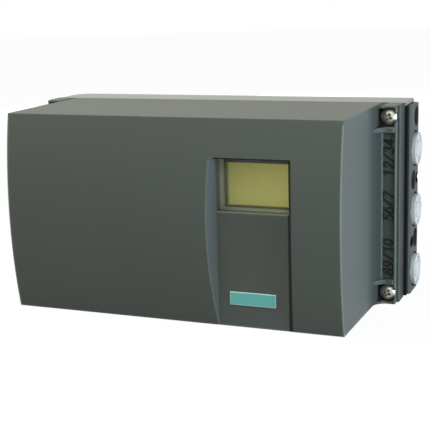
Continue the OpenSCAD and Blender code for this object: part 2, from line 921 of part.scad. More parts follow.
module shaft_bush() {
    color("darkgoldenrod") difference() {
        union() {
            rod_y(bush_r, boss_y, bush_back_y);
            rod_y(bush_r + bush_collar, boss_y - bush_collar_t, boss_y);
        }
        rod_y(shaft_r + run_gap, boss_y - bush_collar_t - cut, cut);
    }
}

module shaft_seal() {
    color("black") ring_along_y(bush_r, shaft_r + thread_play, bush_back_y + small_gap, -ring_seat);
}

// Open snap rings in the shaft's two grooves
module retaining_rings() {
    color("dimgray")
        for (y = ring_at)
            difference() {
                ring_along_y(shaft_r + ring_w, shaft_r - groove_depth + run_gap, y, y + ring_t);
                box([-shaft_r * 0.6, y - cut, -shaft_d], [shaft_r * 0.6, y + ring_t + cut, 0]);
            }
}

// Involute of an angle, in degrees
function involute(a) = tan(a) * 180 / PI - a;

// Half the angle of a tooth at a radius
function tooth_half(teeth, radius) =
    let(base_r = gear_module * teeth / 2 * cos(pressure_angle))
    90 / teeth - backlash / (gear_module * teeth) * 90 / PI + involute(pressure_angle)
        - involute(acos(min(1, base_r / radius)));

// Outline of the teeth from first to last, about a starting angle
function tooth_points(teeth, first, last, start) =
    let(
        pitch_r = gear_module * teeth / 2,
        root_r = pitch_r - 1.25 * gear_module,
        tip_r = pitch_r + 0.95 * gear_module,
        rise = [root_r, pitch_r - 0.5 * gear_module, pitch_r, pitch_r + 0.5 * gear_module, tip_r],
        steps = len(rise)
    )
    [for (tooth = [first:last], step = [0:2 * steps - 1])
        let(
            radius = step < steps ? rise[step] : rise[2 * steps - 1 - step],
            side = step < steps ? -1 : 1,
            angle = start + tooth * 360 / teeth + side * tooth_half(teeth, radius)
        )
        radius * [cos(angle), sin(angle)]];

// A point well outside the sector, at an angle from -X
function web_corner(angle) = 2 * sector_r * [cos(180 + angle), sin(180 + angle)];

// Sector gear towards -X, with two windows in its web
module sector_outline() {
    spoke_angle = 8;
    end_angle = 16;
    rim = 5.5;
    hub_wall = 2.5;
    reach = ceil((shaft_travel + 14) * sector_teeth / 360);
    web_angle = reach * 360 / sector_teeth;
    difference() {
        union() {
            polygon(concat([[0, 0]], tooth_points(sector_teeth, -reach, reach, 180)));
            circle(hub_r);
        }
        intersection() {
            difference() {
                circle(sector_r - rim);
                circle(hub_r + hub_wall);
            }
            for (side = [-1, 1])
                polygon([[0, 0], web_corner(side * spoke_angle), web_corner(side * (web_angle - end_angle))]);
        }
    }
}

module drive_sector() {
    color("khaki") difference() {
        union() {
            along_y(sector_y - gear_w, sector_y) sector_outline();
            rod_y(hub_r, sector_y - gear_w - hub_len, sector_y);
        }
        rod_y(shaft_r + run_gap, sector_y - gear_w - hub_len - cut, sector_y + cut);
    }
}

module clutch_spring() {
    color("silver") ring_along_y(hub_r, shaft_r + small_gap, spring_y - spring_t, spring_y);
}

// Hand wheel with flutes round its rim
module clutch_wheel() {
    flutes = 24;
    flute_r = 1.4;
    flute_depth = 1;
    rim = 3.5;
    hub_wall = 4;
    hollow = 2;
    front_y = wheel_y - wheel_w;
    color("black") difference() {
        rod_y(wheel_d / 2, front_y, wheel_y);
        rod_y(shaft_r + run_gap, front_y - cut, wheel_y + cut);
        ring_along_y(wheel_d / 2 - rim, shaft_r + hub_wall, front_y - cut, front_y + hollow);
        for (flute = [0:flutes - 1])
            rotate([0, flute * 360 / flutes, 0])
                rod_y(flute_r, front_y - cut, wheel_y + cut, [wheel_d / 2 + flute_r - flute_depth, 0]);
    }
}

module potentiometer() {
    at = [pinion_x, 0];
    neck_wall = 2;
    color("teal") difference() {
        union() {
            rod_y(pot_r, floor_y - pot_h, floor_y, at);
            rod_y(spindle_r + neck_wall, pot_neck_y, floor_y, at);
        }
        rod_y(spindle_r + run_gap, pot_neck_y - cut, floor_y - pot_blind, at);
    }
}

module potentiometer_spindle() {
    color("silver")
        rod_y(spindle_r, sector_y - gear_w - spindle_past, floor_y - pot_blind - pot_end_gap, [pinion_x, 0]);
}

module potentiometer_gear() {
    color("ivory") difference() {
        along_y(sector_y - gear_w - pinion_past, sector_y + pinion_past / 2)
            translate([pinion_x, 0])
                polygon(tooth_points(pinion_teeth, 0, pinion_teeth - 1, 180 / pinion_teeth));
        rod_y(spindle_r + run_gap, sector_y - gear_w - pinion_past - cut, sector_y + cut, [pinion_x, 0]);
    }
}

module main_board() {
    color("darkgreen") difference() {
        box([-board_left, board_y, -board_half], [board_right, board_back_y, board_half]);
        for (at = concat(spacer_at, leg_at))
            rod_y(board_hole_r, board_y - cut, board_back_y + cut, at);
    }
}

// Hexagonal posts with a stud at the back and a thread at the front
module board_spacers() {
    color("gold")
        for (at = spacer_at)
            difference() {
                union() {
                    translate([at[0], boss_top_y, at[1]]) rotate([90, 0, 0])
                        cylinder(r = spacer_r, h = spacer_h, $fn = 6);
                    rod_y(stud_r, boss_top_y - cut, boss_top_y + spacer_stud, at);
                }
                rod_y(small_core_r, board_back_y - cut, board_back_y + board_screw_len, at);
            }
}

module board_screws() {
    color("silver")
        for (at = spacer_at)
            small_screw(at, board_y, small_screw_d, small_head_d, board_screw_len);
}

// Chips on the board, each as [x, z, width, height, thickness]
module board_chips() {
    unit = 2;
    chips = unit * [[-10, 9, 9, 9, 1.1], [0, -10, 7, 5, 0.9], [-12, -7, 5, 8, 1.2], [2, 7, 5, 5, 0.8]];
    color("black")
        for (chip = chips)
            translate([chip[0] - chip[2] / 2, board_y - chip[4], chip[1] - chip[3] / 2])
                cube([chip[2], chip[4], chip[3]]);
}

module display_frame() {
    color("dimgray") difference() {
        window_box(frame_margin, lcd_y - frame_lip, board_y);
        window_box(rabbet, lcd_y - frame_lip - cut, lcd_y + cut);
        window_box(glass_margin + seat_gap, lcd_y, board_y + cut);
    }
}

module lcd_glass() {
    glass_t = 2.2;
    color("darkkhaki") window_box(glass_margin, lcd_y, lcd_y + glass_t);
}

function key_x(index) = recess_x + (index - 1) * key_pitch;

module switch_bodies() {
    color("black")
        for (index = [0:2])
            difference() {
                box([key_x(index) - switch_w / 2, board_y - switch_h, key_z - switch_w / 2],
                    [key_x(index) + switch_w / 2, board_y, key_z + switch_w / 2]);
                rod_y(key_stem_r + seat_gap, board_y - switch_h - cut, board_y - 1, [key_x(index), key_z]);
            }
}

// A key: round cap with a domed face on a stem that enters its switch
module key(index) {
    at = [key_x(index), key_z];
    cap_back_y = board_y - switch_h - key_travel - 0.3;
    translate([at[0], 0, at[1]]) intersection() {
        rod_y(key_d / 2, key_y - cut, cap_back_y);
        translate([0, key_y + 2 * key_d, 0]) sphere(r = 2 * key_d);
    }
    rod_y(key_stem_r, cap_back_y - cut, board_y - 1.3 - key_travel, at);
}

module button_left() {
    color("lightgray") key(0);
}

module button_middle() {
    color("lightgray") key(1);
}

module button_right() {
    color("lightgray") key(2);
}

// Plate over the electronics, on four hollow legs
module module_cover() {
    color("darkslategray") difference() {
        union() {
            box([panel_left, panel_y - panel_t, -board_half], [board_right, panel_y, board_half]);
            for (at = leg_at)
                rod_y(leg_r, panel_y - cut, board_y, at);
        }
        window_box(frame_margin + panel_room, panel_y - panel_t - cut, panel_y + cut);
        for (index = [0:2])
            rod_y(key_d / 2 + panel_room, panel_y - panel_t - cut, panel_y + cut, [key_x(index), key_z]);
        for (at = leg_at)
            rod_y(small_core_r, panel_y - panel_t - cut, board_y + cut, at);
    }
}

module module_cover_screws() {
    length = board_y - panel_y + panel_t + leg_screw_past;
    color("silver")
        for (at = leg_at)
            small_screw(at, panel_y - panel_t, small_screw_d, small_head_d, length);
}

// Screw terminals: stepped body, wire openings to the left, screw wells to the front
module terminal_block(low_z) {
    top_y = board_y - terminal_h;
    difference() {
        translate([0, 0, low_z]) linear_extrude(terminal_len)
            polygon([
                [terminal_x, board_y], [terminal_x, board_y - terminal_h * 0.6],
                [terminal_x + terminal_w * 0.25, top_y], [terminal_x + terminal_w * 0.75, top_y],
                [terminal_x + terminal_w, board_y - terminal_h * 0.5], [terminal_x + terminal_w, board_y]
            ]);
        for (way = [0:terminal_ways - 1])
            let(z = low_z + (way + 0.5) * terminal_pitch) {
                box([terminal_x - cut, board_y - terminal_h * 0.5, z - wire_half],
                    [terminal_x + terminal_w * 0.4, board_y - terminal_h * 0.2, z + wire_half]);
                rod_y(well_r, top_y - cut, top_y + well_depth, [terminal_x + terminal_w / 2, z]);
            }
    }
}

module terminal_block_upper() {
    color("forestgreen") terminal_block(terminal_gap);
}

module terminal_block_lower() {
    color("forestgreen") terminal_block(-terminal_gap - terminal_len);
}

// Flat cable with a connector at each end, between valve block and board
module ribbon_cable() {
    color("lightsteelblue") translate([pilot_x, 0, 0]) {
        for (y = [valve_y - plug_t, board_back_y])
            box([-plug_half_w, y, -plug_half_h], [plug_half_w, y + plug_t, plug_half_h]);
        box([-ribbon_half_t, board_back_y, ribbon_in - plug_half_h],
            [ribbon_half_t, valve_y, plug_half_h - ribbon_in]);
    }
}

module valve_block() {
    color("lightslategray") difference() {
        union() {
            box([valve_x, valve_y, -valve_half], [valve_front_x, floor_y, valve_half]);
            box([valve_x, valve_step_y, -valve_half], [valve_back_x, floor_y, valve_half]);
        }
        for (at = valve_screw_at)
            rod_y(stud_r + small_gap, valve_y - cut, floor_y + cut, at);
        for (z = ports_z)
            rod_x(port_d / 4, valve_back_x - air_drill, valve_back_x + cut, [-port_y, z]);
        rod_y(vent_r / 2, floor_y - vent_drill, floor_y + cut, vent_at);
    }
}

module valve_block_screws() {
    color("silver")
        for (at = valve_screw_at)
            small_screw(at, valve_y, 2 * stud_r, valve_screw_head, valve_screw_end_y - valve_y);
}

// A pilot valve: flat case with a rounded front
module pilot_valve(z) {
    barrel_r = pilot_w;
    translate([pilot_x, valve_y, z]) intersection() {
        box([-pilot_w / 2, -pilot_t - cut, -pilot_h / 2], [pilot_w / 2, 0, pilot_h / 2]);
        translate([0, barrel_r - pilot_t, 0]) cylinder(r = barrel_r, h = pilot_h, center = true);
    }
}

module pilot_valve_upper() {
    color("black") pilot_valve(pilot_z);
}

module pilot_valve_lower() {
    color("black") pilot_valve(-pilot_z);
}

module exhaust_silencer() {
    color("darkgoldenrod") rod_y(vent_r, vent_end_gap - vent_seat, -vent_sunk, vent_at);
}

// A hexagon along X with flats to front and back
module hex_x(flats, from, to, at) {
    translate([from, at[0], at[1]]) rotate([0, 90, 0]) cylinder(d = flats / cos(30), h = to - from, $fn = 6);
}

module cable_gland_body() {
    color("dimgray") difference() {
        union() {
            rod_x(entry_d / 2 - thread_play, gland_face_x - cut, -inner_x - gland_end, gland_at);
            hex_x(gland_flats, gland_face_x - gland_hex, gland_face_x, gland_at);
            rod_x(gland_neck_r, gland_neck_x, gland_face_x - cut, gland_at);
        }
        rod_x(gland_bore_r, gland_neck_x - cut, -inner_x + cut, gland_at);
        rod_x(gland_neck_r - gland_neck_wall, gland_neck_x - cut, gland_neck_x + gland_seal_len, gland_at);
    }
}

module cable_gland_seal() {
    outer = gland_neck_r - gland_neck_wall - gland_gap;
    color("black")
        ring_along_x(outer, cable_d / 2, gland_neck_x - gland_seal_out,
            gland_neck_x + gland_seal_len - gland_gap, gland_at);
}

module cable_gland_nut() {
    color("dimgray") difference() {
        union() {
            hex_x(gland_flats, nut_x - nut_len * 0.6, nut_x, gland_at);
            intersection() {
                rod_x(gland_flats / 2, nut_x - nut_len, nut_x - 1, gland_at);
                translate([nut_x - nut_len + gland_flats * 0.7, gland_at[0], gland_at[1]])
                    sphere(r = gland_flats * 0.7);
            }
        }
        rod_x(gland_neck_r + thread_play, gland_neck_x - gland_seal_out - small_gap, nut_x + cut,
            gland_at);
        rod_x(gland_bore_r, nut_x - nut_len - cut, nut_x, gland_at);
    }
}

// Low blanking plug with a driver slot
module entry_plug() {
    disc_x = gland_face_x - plug_disc_t;
    slot = [plug_slot_depth + cut, gland_flats * 0.7, plug_slot_w];
    color("dimgray") difference() {
        union() {
            rod_x(entry_d / 2 - thread_play, gland_face_x - cut, -inner_x - plug_end, plug_at);
            rod_x(gland_flats / 2, disc_x, gland_face_x, plug_at);
        }
        translate([disc_x - cut, plug_at[0] - slot[1] / 2, plug_at[1] - slot[2] / 2]) cube(slot);
        rod_x(entry_d / 2 - plug_wall, gland_face_x + plug_wall, -inner_x + cut, plug_at);
    }
}

module entry_seals() {
    color("black")
        for (at = [gland_at, plug_at])
            ring_along_x(gland_flats / 2 - nut_gap, entry_d / 2 + gland_gap, gland_face_x, -half_w, at);
}

// Outside earth screw on its square clamp washer
module ground_screw() {
    color("silver") {
        box([-half_w - washer_t, -entry_y - washer_half, -washer_half],
            [-half_w, washer_half - entry_y, washer_half]);
        translate([-half_w - washer_t, -entry_y, 0]) rotate([0, 0, -90])
            pan_head_y(ground_head_d, ground_head_h);
        rod_x(stud_r, -half_w - washer_t, -half_w + ground_len, [-entry_y, 0]);
    }
}

base_housing();
front_cover();
cover_gasket();
cover_screws();
window_pane();
window_seal();
display_frame();
lcd_glass();
main_board();
board_spacers();
board_screws();
board_chips();
switch_bodies();
button_left();
button_middle();
button_right();
module_cover();
module_cover_screws();
terminal_block_upper();
terminal_block_lower();
ribbon_cable();
feedback_shaft();
shaft_bush();
shaft_seal();
retaining_rings();
drive_sector();
clutch_spring();
clutch_wheel();
potentiometer();
potentiometer_spindle();
potentiometer_gear();
manifold_block();
manifold_gasket();
manifold_screws();
throttle_screw_upper();
throttle_screw_lower();
port_cap_upper();
port_cap_middle();
port_cap_lower();
port_seals();
valve_block();
valve_block_screws();
pilot_valve_upper();
pilot_valve_lower();
exhaust_silencer();
cable_gland_body();
cable_gland_seal();
cable_gland_nut();
entry_plug();
entry_seals();
ground_screw();
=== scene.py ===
"""Looks of a valve positioner: finishes for its CAD nodes, small pieces, stage, lamps and camera."""

import math

import bmesh
import bpy
import numpy as np
from mathutils import Matrix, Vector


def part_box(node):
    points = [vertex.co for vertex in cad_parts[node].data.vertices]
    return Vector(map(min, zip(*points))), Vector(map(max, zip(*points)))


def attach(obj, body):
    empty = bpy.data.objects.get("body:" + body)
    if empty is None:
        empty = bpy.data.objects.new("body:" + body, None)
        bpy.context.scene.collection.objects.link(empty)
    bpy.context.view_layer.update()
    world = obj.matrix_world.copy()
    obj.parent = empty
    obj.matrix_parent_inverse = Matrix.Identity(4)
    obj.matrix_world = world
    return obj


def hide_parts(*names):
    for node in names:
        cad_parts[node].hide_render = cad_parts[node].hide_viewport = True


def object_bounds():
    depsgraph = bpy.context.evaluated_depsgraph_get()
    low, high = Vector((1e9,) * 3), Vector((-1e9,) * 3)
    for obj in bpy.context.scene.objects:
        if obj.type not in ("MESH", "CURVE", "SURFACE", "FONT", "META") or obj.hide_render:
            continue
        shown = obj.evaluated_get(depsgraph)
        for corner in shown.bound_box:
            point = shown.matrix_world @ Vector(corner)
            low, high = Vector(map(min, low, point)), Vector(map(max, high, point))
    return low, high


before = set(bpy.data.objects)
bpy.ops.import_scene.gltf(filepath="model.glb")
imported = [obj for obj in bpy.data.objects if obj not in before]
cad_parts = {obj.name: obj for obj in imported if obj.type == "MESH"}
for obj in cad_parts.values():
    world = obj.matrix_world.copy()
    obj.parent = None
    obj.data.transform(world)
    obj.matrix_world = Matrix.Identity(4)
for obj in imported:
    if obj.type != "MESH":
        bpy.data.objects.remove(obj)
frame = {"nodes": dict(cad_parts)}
CAD_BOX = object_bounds()

bl_info = {
    "name": "Valve positioner looks",
    "version": (1, 0, 0),
    "blender": (4, 5, 0),
    "location": "View3D > Sidebar > Positioner",
    "description": "Finishes, small pieces and a stage for the valve positioner's CAD model",
    "category": "Object",
}

MM = 0.001

# How white the floor and the surround look, and how they light the part
FLOOR_SHADE = 0.24
FLOOR_WHITE = 0.97
AMBIENT = 0.1
GLOSS_WHITE = 0.6

# The floor's hole, hidden under the part, its outer radius, and how far it lies below the part
FLOOR_HOLE = 10 * MM
FLOOR_RADIUS = 3.0
FLOOR_GAP = 0.1 * MM

# Each lamp: name, place, aim, width and height, watts, tint
LAMPS = [
    ("overhead", (-0.1, -0.15, 1.2), (0, -0.04, 0), (0.9, 0.9), 4.0, (1, 1, 0.96)),
    ("upper_left", (-0.35, -0.25, 0.9), (0, -0.04, 0), (0.6, 0.6), 9.3, (1, 1, 0.96)),
    ("right_side", (0.42, -0.13, 0), (0.06, -0.05, -0.01), (0.2, 0.08), 1.352, (0.635, 0.769, 1)),
    ("right_behind", (0.75, 0.6, 0), (0.07, -0.04, 0), (0.5, 0.3), 0.8, (0.55, 0.75, 1)),
    ("left_behind", (-0.5, 0.75, 0), (0, -0.02, 0), (0.7, 0.08), 9.0, (1, 1, 1)),
    ("front_right", (0.4, -0.9, 0.6), (0, -0.04, 0), (0.5, 0.5), 2.3, (0.75, 0.87, 1)),
]

# The photograph's viewpoint
CAMERA_PLACE = (0.2002, -0.5170, 0.1041)
CAMERA_LENS = 88.85
CAMERA_AZIMUTH = 22.51
CAMERA_ELEVATION = 12.22
CAMERA_ROLL = -1.65

# The display recess, as in the part's source: floor, sides, top, and the right wall's lean for each depth
RECESS_FLOOR_Y = -88.8 * MM
RECESS_LEFT_X = 23.5 * MM
RECESS_RIGHT_X = 58.2 * MM
RECESS_TOP_Z = 29.7 * MM
RECESS_LEAN = 0.25

# Painted shade round the recess: width on its floor, fade, width over its top and past its wall, and reach
# behind
SHADE_ON_FLOOR = 1.4 * MM
SHADE_FADE = 0.5 * MM
SHADE_OVER_TOP = 0.6 * MM
SHADE_PAST_WALL = 0.55 * MM
SHADE_BEHIND = 0.3 * MM

# How near the recess's right wall and its top a place still belongs to them
WALL_SKIN = 0.05 * MM
TOP_SKIN = 0.02 * MM

# The hood's flares, flanges, ribs and channels, where the part's source has them
FLARE_FROM_X = 82.4 * MM
FLARE_TO_X = 85.7 * MM
FLARE_MIDDLE_X = 89.75 * MM
FLARE_MIDDLE_Y = -41.95 * MM
FLARE_RADIUS = 7 * MM
FLANGE_SIDE_X = 92.3 * MM
RIB_MIDDLE_Z = 36.4 * MM
CHANNEL_FLOOR_Y = -34.0 * MM
CHANNEL_MIDDLE_X = 88.7 * MM

# Depths between which painted shade thickens on flares and seams, and where the hood's edges get a painted
# highlight or none
FLARE_SHADE_Y = (-52 * MM, -38 * MM)
SEAM_SHADE_Y = (-33.5 * MM, -28.5 * MM)
HIGHLIGHT_BEFORE_Y = -50 * MM
HIGHLIGHT_PAST_X = 80 * MM
UNHIGHLIT_TOP_Z = 45.5 * MM

# The pane's black beyond a border, painted shade, and the display's painted light with black painted shade
# above a height
PANE_SHADE_X = 56.0 * MM
DISPLAY_LEFT_X = 24.1 * MM
DISPLAY_LOW_Z = 6.4 * MM
DISPLAY_SHADED_Z = 25.6 * MM
DISPLAY_SPAN = 30 * MM

# Cover screw heads, mounting bores and terminals, as in the part's source
SOURCE_HEAD_RADIUS = 4 * MM
MOUNT_X = 29 * MM
MOUNT_Z = 25 * MM
MOUNT_RADIUS = 3.4 * MM
MOUNT_DEPTH = 9 * MM
TERMINAL_WAYS = 6

# Grain of moulded plastic, and the angle from which an edge of a new piece is sharp
MOULD_GRAIN = 0.35 * MM
SHARP_ANGLE = math.radians(38)

# How far a screw's driver recess is turned from the screw's own X, in radians
DRIVER_TURN = 0.5

# Chips as in the part's source: middle across, middle up, width, height, thickness, in millimetres
CHIPS = [(-20, 18, 18, 18, 2.2), (0, -20, 14, 10, 1.8), (-24, -14, 10, 16, 2.4), (4, 14, 10, 10, 1.6)]

# Plain numbers beside the ports, each with the height of its lower end in millimetres, and their slant
PORT_NUMBERS = [("12/34", 14.3), ("56/7", -7.1), ("89/10", -33.4)]
MARK_SLANT = 0.18

# Strokes of the numbers on a cell one high: lines as two ends, arcs as middle, two radii and two angles
STROKES = {
    "0": [(0.3, 0.5, 0.27, 0.5, 0, 360)],
    "1": [(0.1, 0.76, 0.36, 1), (0.36, 1, 0.36, 0)],
    "2": [(0.3, 0.72, 0.27, 0.28, 165, -38), (0.51, 0.55, 0.03, 0), (0.03, 0, 0.6, 0)],
    "3": [(0.28, 0.76, 0.25, 0.24, 150, -80), (0.28, 0.27, 0.29, 0.27, 80, -150)],
    "4": [(0.45, 0, 0.45, 1), (0.45, 1, 0.02, 0.3), (0.02, 0.3, 0.62, 0.3)],
    "5": [(0.56, 1, 0.12, 1), (0.12, 1, 0.08, 0.54), (0.29, 0.33, 0.29, 0.33, 138, -150)],
    "6": [(0.3, 0.31, 0.28, 0.31, 0, 360), (0.5, 0.33, 0.48, 0.67, 95, 180)],
    "7": [(0.03, 1, 0.58, 1), (0.58, 1, 0.2, 0)],
    "8": [(0.3, 0.76, 0.23, 0.24, 0, 360), (0.3, 0.27, 0.29, 0.27, 0, 360)],
    "9": [(0.3, 0.69, 0.28, 0.31, 0, 360), (0.1, 0.67, 0.48, 0.67, 0, -85)],
    "/": [(0.02, 0, 0.56, 1)],
}

# Where a shape's own X, Y and Z point once it is placed: Z to the front or the back
TO_FRONT = np.array([[1, 0, 0], [0, 0, 1], [0, -1, 0]])
TO_BACK = np.array([[-1, 0, 0], [0, 0, 1], [0, 1, 0]])


def linear(red, green, blue):
    """A colour written as 0 to 255 on screen, as linear light."""
    values = [c / 255 for c in (red, green, blue)]
    return [c / 12.92 if c <= 0.04045 else ((c + 0.055) / 1.055) ** 2.4 for c in values]


def colour(name, description, shade):
    """A colour property with its default on screen as 0 to 255."""
    return bpy.props.FloatVectorProperty(
        name=name, description=description, subtype="COLOR", size=3, min=0, max=1, default=linear(*shade))


def length(name, description, default):
    """A length property, given in millimetres and kept in metres."""
    return bpy.props.FloatProperty(
        name=name, description=description, subtype="DISTANCE", unit="LENGTH", min=0, default=default * MM)


class PositionerSizes(bpy.types.PropertyGroup):
    """Sizes of the small pieces."""
    plate_width: length("Plate width", "Width of the bare plate in the display recess", 22.0)
    plate_height: length("Plate height", "Height of the bare plate", 6.2)
    plate_rise: length("Plate rise", "How far the plate stands off the recess floor", 0.35)
    plate_corner: length("Plate corner", "Corner radius of the plate", 0.25)
    plate_rim: length("Plate rim", "Width of the plate's pale rim", 0.45)
    plate_middle_x: length("Plate middle", "Middle of the plate, right of the shaft", 40.0)
    plate_drop: length("Plate drop", "Middle of the plate, below the shaft", 34.2)
    rib_width: length("Rib width", "Width of a flange rib's end", 2.3)
    rib_proud: length("Rib rise", "How far a rib's end stands off the flare", 1.3)
    mark_height: length("Mark height", "Height of the raised port numbers", 4.4)
    mark_advance: length("Mark advance", "Room along the channel for one number", 3.6)
    mark_stroke: length("Mark stroke", "Width of a stroke of the port numbers", 0.75)
    mark_rise: length("Mark rise", "How far the port numbers stand off the channel", 0.75)
    screw_head: length("Screw head", "Diameter of a cover screw's head", 7.5)
    screw_rise: length("Screw rise", "Height of a cover screw's head", 3.06)
    screw_shank: length("Screw shank", "Diameter of a cover screw's thread", 4.0)
    screw_pitch: length("Screw pitch", "Pitch of a cover screw's thread", 0.7)
    mount_pitch: length("Mount pitch", "Pitch of the rear mounting threads", 1.25)
    terminal_screw: length("Terminal screw", "Diameter of a terminal screw's head", 3.1)
    terminal_well: length("Terminal well", "How deep a terminal screw's head lies", 3.4)
    leg_pitch: length("Leg pitch", "Pitch of the chips' legs", 1.27)
    leg_reach: length("Leg reach", "How far the legs stand out from a chip", 1.5)
    edge_round: length("Edge rounding", "Rounding of the hood's moulded edges", 0.7)


class PositionerColours(bpy.types.PropertyGroup):
    """Colours of the finishes."""
    hood: colour("Hood", "Moulded hood", (92, 97, 88))
    base: colour("Base", "Moulded base", (150, 151, 146))
    manifold: colour("Manifold", "Die-cast manifold", (90, 90, 79))
    rubber: colour("Rubber", "Gaskets and seals", (19, 20, 20))
    nickel: colour("Nickel", "Plated screws", (204, 202, 180))
    steel: colour("Steel", "Bright steel", (188, 189, 190))
    black_steel: colour("Black steel", "Oxide-blackened screws", (36, 37, 38))
    brass: colour("Brass", "Brass and bronze", (206, 172, 108))
    cap: colour("Dust cap", "Soft plastic caps", (222, 221, 210))
    display: colour("Display", "Lit display", (206, 201, 96))
    frame: colour("Window seal", "Seal round the pane", (190, 190, 176))
    plate: colour("Plate", "Bare plate", (112, 206, 192))
    plate_rim: colour("Plate rim", "Pale edge of the plate", (192, 228, 222))
    board: colour("Board", "Solder mask", (22, 92, 58))
    black: colour("Black plastic", "Inner mouldings", (40, 41, 42))
    key: colour("Keys", "Key caps", (186, 188, 185))
    terminal: colour("Terminals", "Terminal blocks", (62, 142, 92))
    gear: colour("Gears", "Natural acetal", (222, 214, 186))
    cable: colour("Ribbon", "Ribbon cable", (160, 166, 174))
    valve: colour("Valve block", "Machined aluminium", (186, 188, 190))
    solder: colour("Solder", "Tinned legs and joints", (198, 198, 194))
    resistor: colour("Small parts", "Small board parts", (34, 36, 40))


class Wire:
    """An output socket of a material's tree. Arithmetic on wires adds Math nodes."""

    def __init__(self, finish, socket):
        self.finish = finish
        self.socket = socket

    def math(self, operation, first, second):
        return self.finish.node("ShaderNodeMath", {"operation": operation}, {0: first, 1: second})

    def __add__(self, other):
        return self.math("ADD", self, other)

    def __radd__(self, other):
        return self.math("ADD", other, self)

    def __sub__(self, other):
        return self.math("SUBTRACT", self, other)

    def __rsub__(self, other):
        return self.math("SUBTRACT", other, self)

    def __mul__(self, other):
        return self.math("MULTIPLY", self, other)

    def __rmul__(self, other):
        return self.math("MULTIPLY", other, self)

    def __lt__(self, other):
        return self.math("LESS_THAN", self, other)

    def __gt__(self, other):
        return self.math("GREATER_THAN", self, other)


class Finish:
    """A procedural material or world: a node tree with one method that adds any node."""

    def __init__(self, holder):
        holder.use_nodes = True
        self.holder = holder
        self.tree = holder.node_tree
        self.tree.nodes.clear()

    def node(self, kind, settings=None, inputs=None, output=0):
        """Adds a node, sets its settings, then its sockets' values or links, and returns one output."""
        made = self.tree.nodes.new(kind)
        for key, value in (settings or {}).items():
            setattr(made, key, value)
        for key, value in (inputs or {}).items():
            socket = made.inputs[key]
            if isinstance(value, Wire):
                self.tree.links.new(value.socket, socket)
            else:
                socket.default_value = value
        return Wire(self, made.outputs[output]) if made.outputs else None

    def place(self):
        """Object coordinates, in metres."""
        return self.node("ShaderNodeTexCoord", output="Object")

    def coordinate(self, axis):
        """One of the Object coordinates."""
        return self.node("ShaderNodeSeparateXYZ", None, {"Vector": self.place()}, axis)

    def stretched(self, factors):
        """Object coordinates, each times its factor."""
        return self.node("ShaderNodeVectorMath", {"operation": "MULTIPLY"}, {0: self.place(), 1: factors})

    def ray(self, kind):
        """1 for one kind of ray, such as Camera or Glossy."""
        return self.node("ShaderNodeLightPath", output=f"Is {kind} Ray")

    def noise(self, scale, detail=3.0, place=None):
        """Noise whose cells are about 1 / scale metres across."""
        return self.node("ShaderNodeTexNoise", {"noise_dimensions": "3D"}, {
            "Vector": place or self.place(), "Scale": scale, "Detail": detail, "Roughness": 0.55})

    def between(self, value, low, high):
        """0 below low, 1 above high, and even in between."""
        return self.node("ShaderNodeMapRange", {"clamp": True}, {
            "Value": value, "From Min": low, "From Max": high, "To Min": 0.0, "To Max": 1.0})

    def blend(self, factor, first, second):
        """A colour between two."""
        as_colour = [value if isinstance(value, Wire) else (*value, 1) for value in (first, second)]
        sockets = {0: factor, 6: as_colour[0], 7: as_colour[1]}
        return self.node("ShaderNodeMix", {"data_type": "RGBA"}, sockets, 2)

    def bump(self, height, distance, strength=1.0, edges=0.0):
        """A normal bent by a height, where the height of 1 is a distance in metres, over softened edges."""
        inputs = {"Height": height, "Distance": distance, "Strength": strength}
        if edges:
            inputs["Normal"] = self.node("ShaderNodeBevel", {"samples": 6}, {"Radius": edges})
        return self.node("ShaderNodeBump", None, inputs)

    def grid(self, place, cell, line, shades, offset=0.0):
        """A grid on the XZ plane: width and height of a cell, width of a line, and greys of cell and line."""
        upright = self.node("ShaderNodeVectorRotate", {"rotation_type": "X_AXIS"}, {
            "Vector": place, "Angle": math.pi / 2})
        cell_shade, line_shade = [(grey, grey, grey, 1) for grey in shades]
        return self.node("ShaderNodeTexBrick", {"offset": offset, "squash": 1.0}, {
            "Vector": upright, "Scale": 1.0, "Mortar Size": line, "Brick Width": cell[0],
            "Row Height": cell[1], "Color1": cell_shade, "Color2": cell_shade, "Mortar": line_shade})

    def occlusion(self, reach, inside):
        """How open the piece's own shape is within a reach, out from the surface or into it."""
        options = {"samples": 8, "only_local": True, "inside": inside}
        return self.node("ShaderNodeAmbientOcclusion", options, {"Distance": reach}, "AO")

    def hollow(self, reach):
        """1 down in corners and holes that a reach spans, 0 out in the open."""
        return 1 - self.occlusion(reach, False)

    def crest(self, reach):
        """1 on outward edges and thin ridges that a reach spans, 0 on broad faces."""
        return 1 - self.occlusion(reach, True)

    def surface(self, **inputs):
        """A Principled surface on the output; names use _ for a space."""
        named = {key.replace("_", " "): value for key, value in inputs.items()}
        for key in ("Base Color", "Emission Color"):
            if key in named and not isinstance(named[key], Wire):
                named[key] = (*named[key], 1)
        shader = self.node("ShaderNodeBsdfPrincipled", None, named)
        self.node("ShaderNodeOutputMaterial", None, {"Surface": shader})
        return self.holder


def shaded(shade, factor):
    """A colour made lighter or darker."""
    return [min(1, c * factor) for c in shade]


def moulded(name, shade, rough=0.5, edges=0.25 * MM):
    """Moulded plastic: spark-eroded grain, faint flow mottling and a satin sheen."""
    finish = Finish(bpy.data.materials.new(name))
    grit = finish.noise(1 / MOULD_GRAIN, 2.0)
    cloud = finish.noise(28.0, 3.0)
    tone = finish.blend(cloud, shaded(shade, 0.94), shaded(shade, 1.06))
    return finish.surface(
        Base_Color=tone, Roughness=rough - 0.06 + 0.12 * grit, Specular_IOR_Level=0.4,
        Normal=finish.bump(grit, 0.03 * MM, 0.5, edges))


